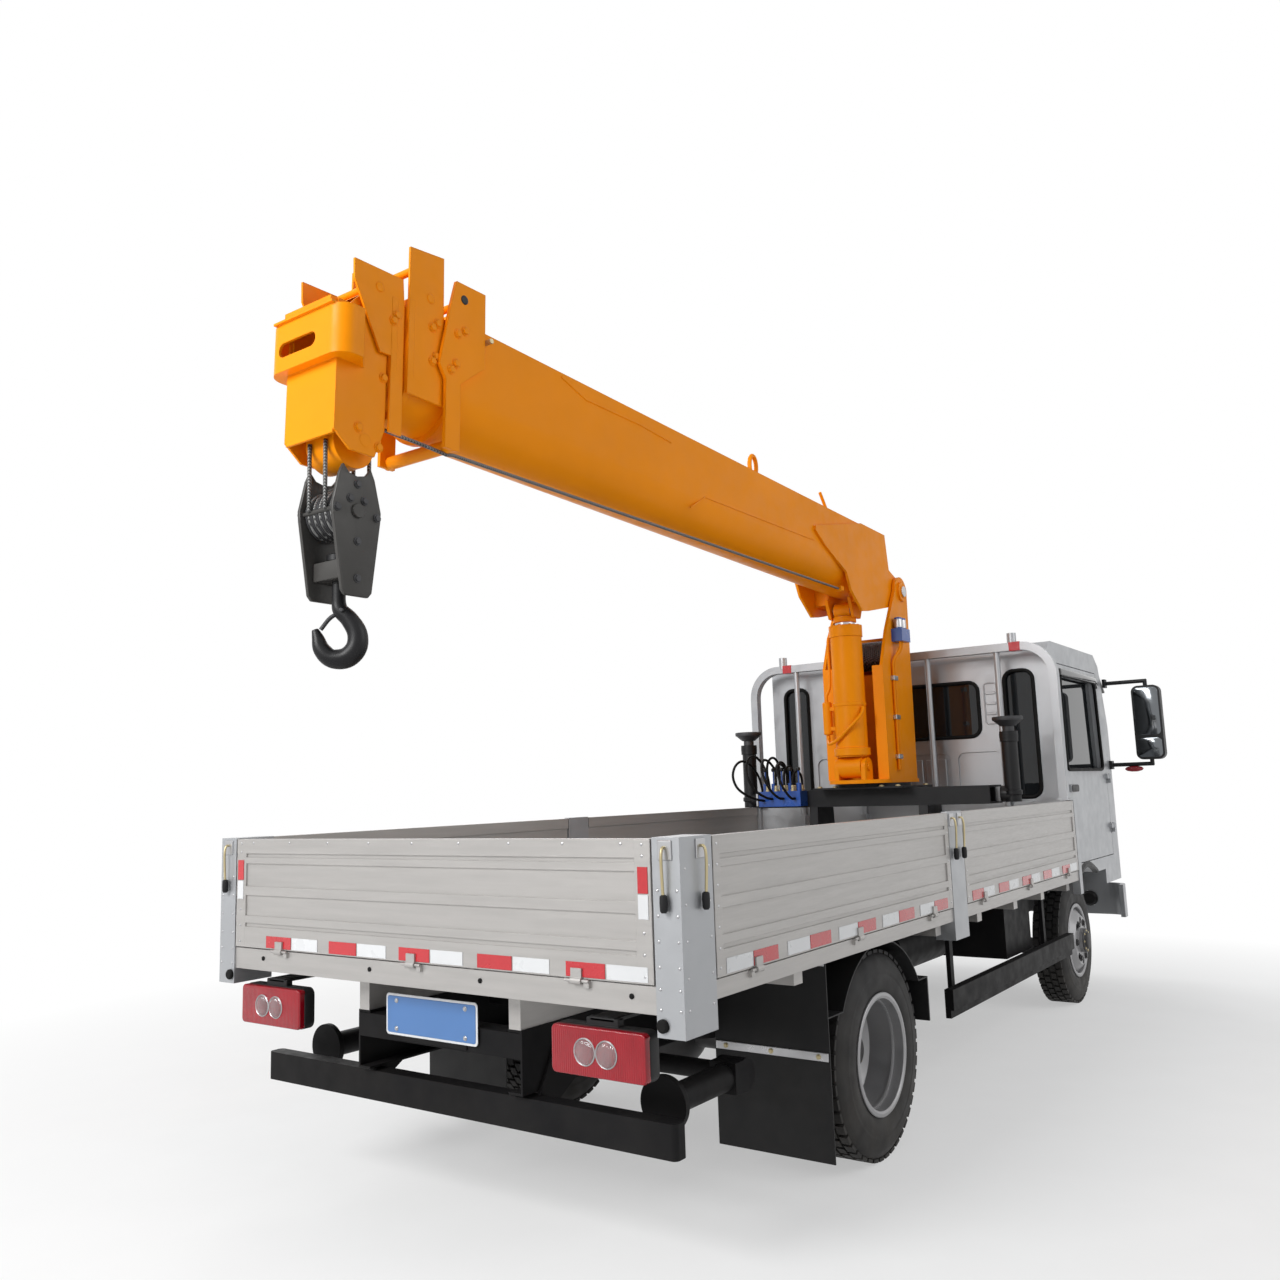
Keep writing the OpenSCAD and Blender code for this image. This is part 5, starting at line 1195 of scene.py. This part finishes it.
def dress_header():
    """Red marker bands on the header behind the cab."""
    bands = Shape()
    for y in (-820, 760):
        bands.box((2677, 2738), (y - 34, y + 34), (2207, 2263), 2)
    bands.done("header_marker_bands", "chassis", RED_STRIP)


make_hoses()
dress_tailgate()
dress_sides()
make_latches()
dress_posts()
make_tail_lamps()
dress_flaps()
make_wheels()
dress_boom()
make_hook_block()
make_hook()
dress_column()
dress_base()
dress_cab()
dress_front()
make_cab_inside()
dress_header()


# Floor and light


def camera_like(tree):
    """One for rays that show the background, from the camera, through glass or off metal."""
    path = add_node(tree, "ShaderNodeLightPath")
    shown = path.outputs["Is Camera Ray"]
    for ray in ("Is Transmission Ray", "Is Glossy Ray"):
        shown = work_out(tree, "MAXIMUM", shown, path.outputs[ray])
    return shown


def mix_shader(tree, factor, first, second, end):
    both = add_node(tree, "ShaderNodeMixShader", {"Fac": factor, 1: first, 2: second})
    tree.links.new(both.outputs["Shader"], tree.nodes[end].inputs["Surface"])


def make_floor():
    """A pale floor that keeps the shadow near the truck and fades to white far off."""
    size = 60
    mesh = bpy.data.meshes.new("floor")
    corners = [(-size, -size, 0), (size, -size, 0), (size, size, 0), (-size, size, 0)]
    mesh.from_pydata(corners, [], [(0, 1, 2, 3)])
    floor = bpy.data.objects.new("floor", mesh)
    bpy.context.scene.collection.objects.link(floor)
    material, tree, bsdf = new_material("pale_floor")
    bsdf.inputs["Roughness"].default_value = 0.9
    tone = mix_color(tree, spread(tree, noise(tree, 3), 0, 1), (0.86, 0.86, 0.855), (0.89, 0.89, 0.885))
    tree.links.new(tone, bsdf.inputs["Base Color"])
    length = add_node(tree, "ShaderNodeVectorMath", {0: own_place(tree)}, operation="LENGTH")
    far = spread(tree, length.outputs["Value"], 0.45, 1, 2.6, 5.5)
    glow = add_node(tree, "ShaderNodeEmission")
    share = work_out(tree, "MULTIPLY", far, camera_like(tree))
    mix_shader(tree, share, bsdf.outputs["BSDF"], glow.outputs["Emission"], "Material Output")
    mesh.materials.append(material)


def make_light():
    """A soft sky that looks white, and three soft lamps."""
    world = bpy.data.worlds.new("studio")
    world.use_nodes = True
    tree = world.node_tree
    sky = tree.nodes["Background"]
    sky.inputs["Color"].default_value = (0.95, 0.97, 1.0, 1)
    sky.inputs["Strength"].default_value = 0.30
    white = add_node(tree, "ShaderNodeBackground", {"Color": (1, 1, 1, 1)})
    soft, plain = sky.outputs["Background"], white.outputs["Background"]
    mix_shader(tree, camera_like(tree), soft, plain, "World Output")
    bpy.context.scene.world = world
    # Places and aims in metres, size, power
    lamps = [
        ("key_light", (-10.0, 1.5, 6.0), (0.0, 0.0, 1.2), 4.0, 820),
        ("side_light", (1.0, -9.0, 6.0), (0.5, 0.0, 1.2), 6.0, 250),
        ("back_light", (5.0, 7.0, 7.5), (0.5, 0.0, 1.5), 5.0, 260),
    ]
    for name, place, aim, size, power in lamps:
        data = bpy.data.lights.new(name, "AREA")
        data.size = size
        data.energy = power
        lamp = bpy.data.objects.new(name, data)
        lamp.location = place
        lamp.rotation_euler = (Vector(aim) - Vector(place)).to_track_quat("-Z", "Y").to_euler()
        bpy.context.scene.collection.objects.link(lamp)


make_floor()
make_light()
bpy.context.scene.view_settings.view_transform = "Standard"
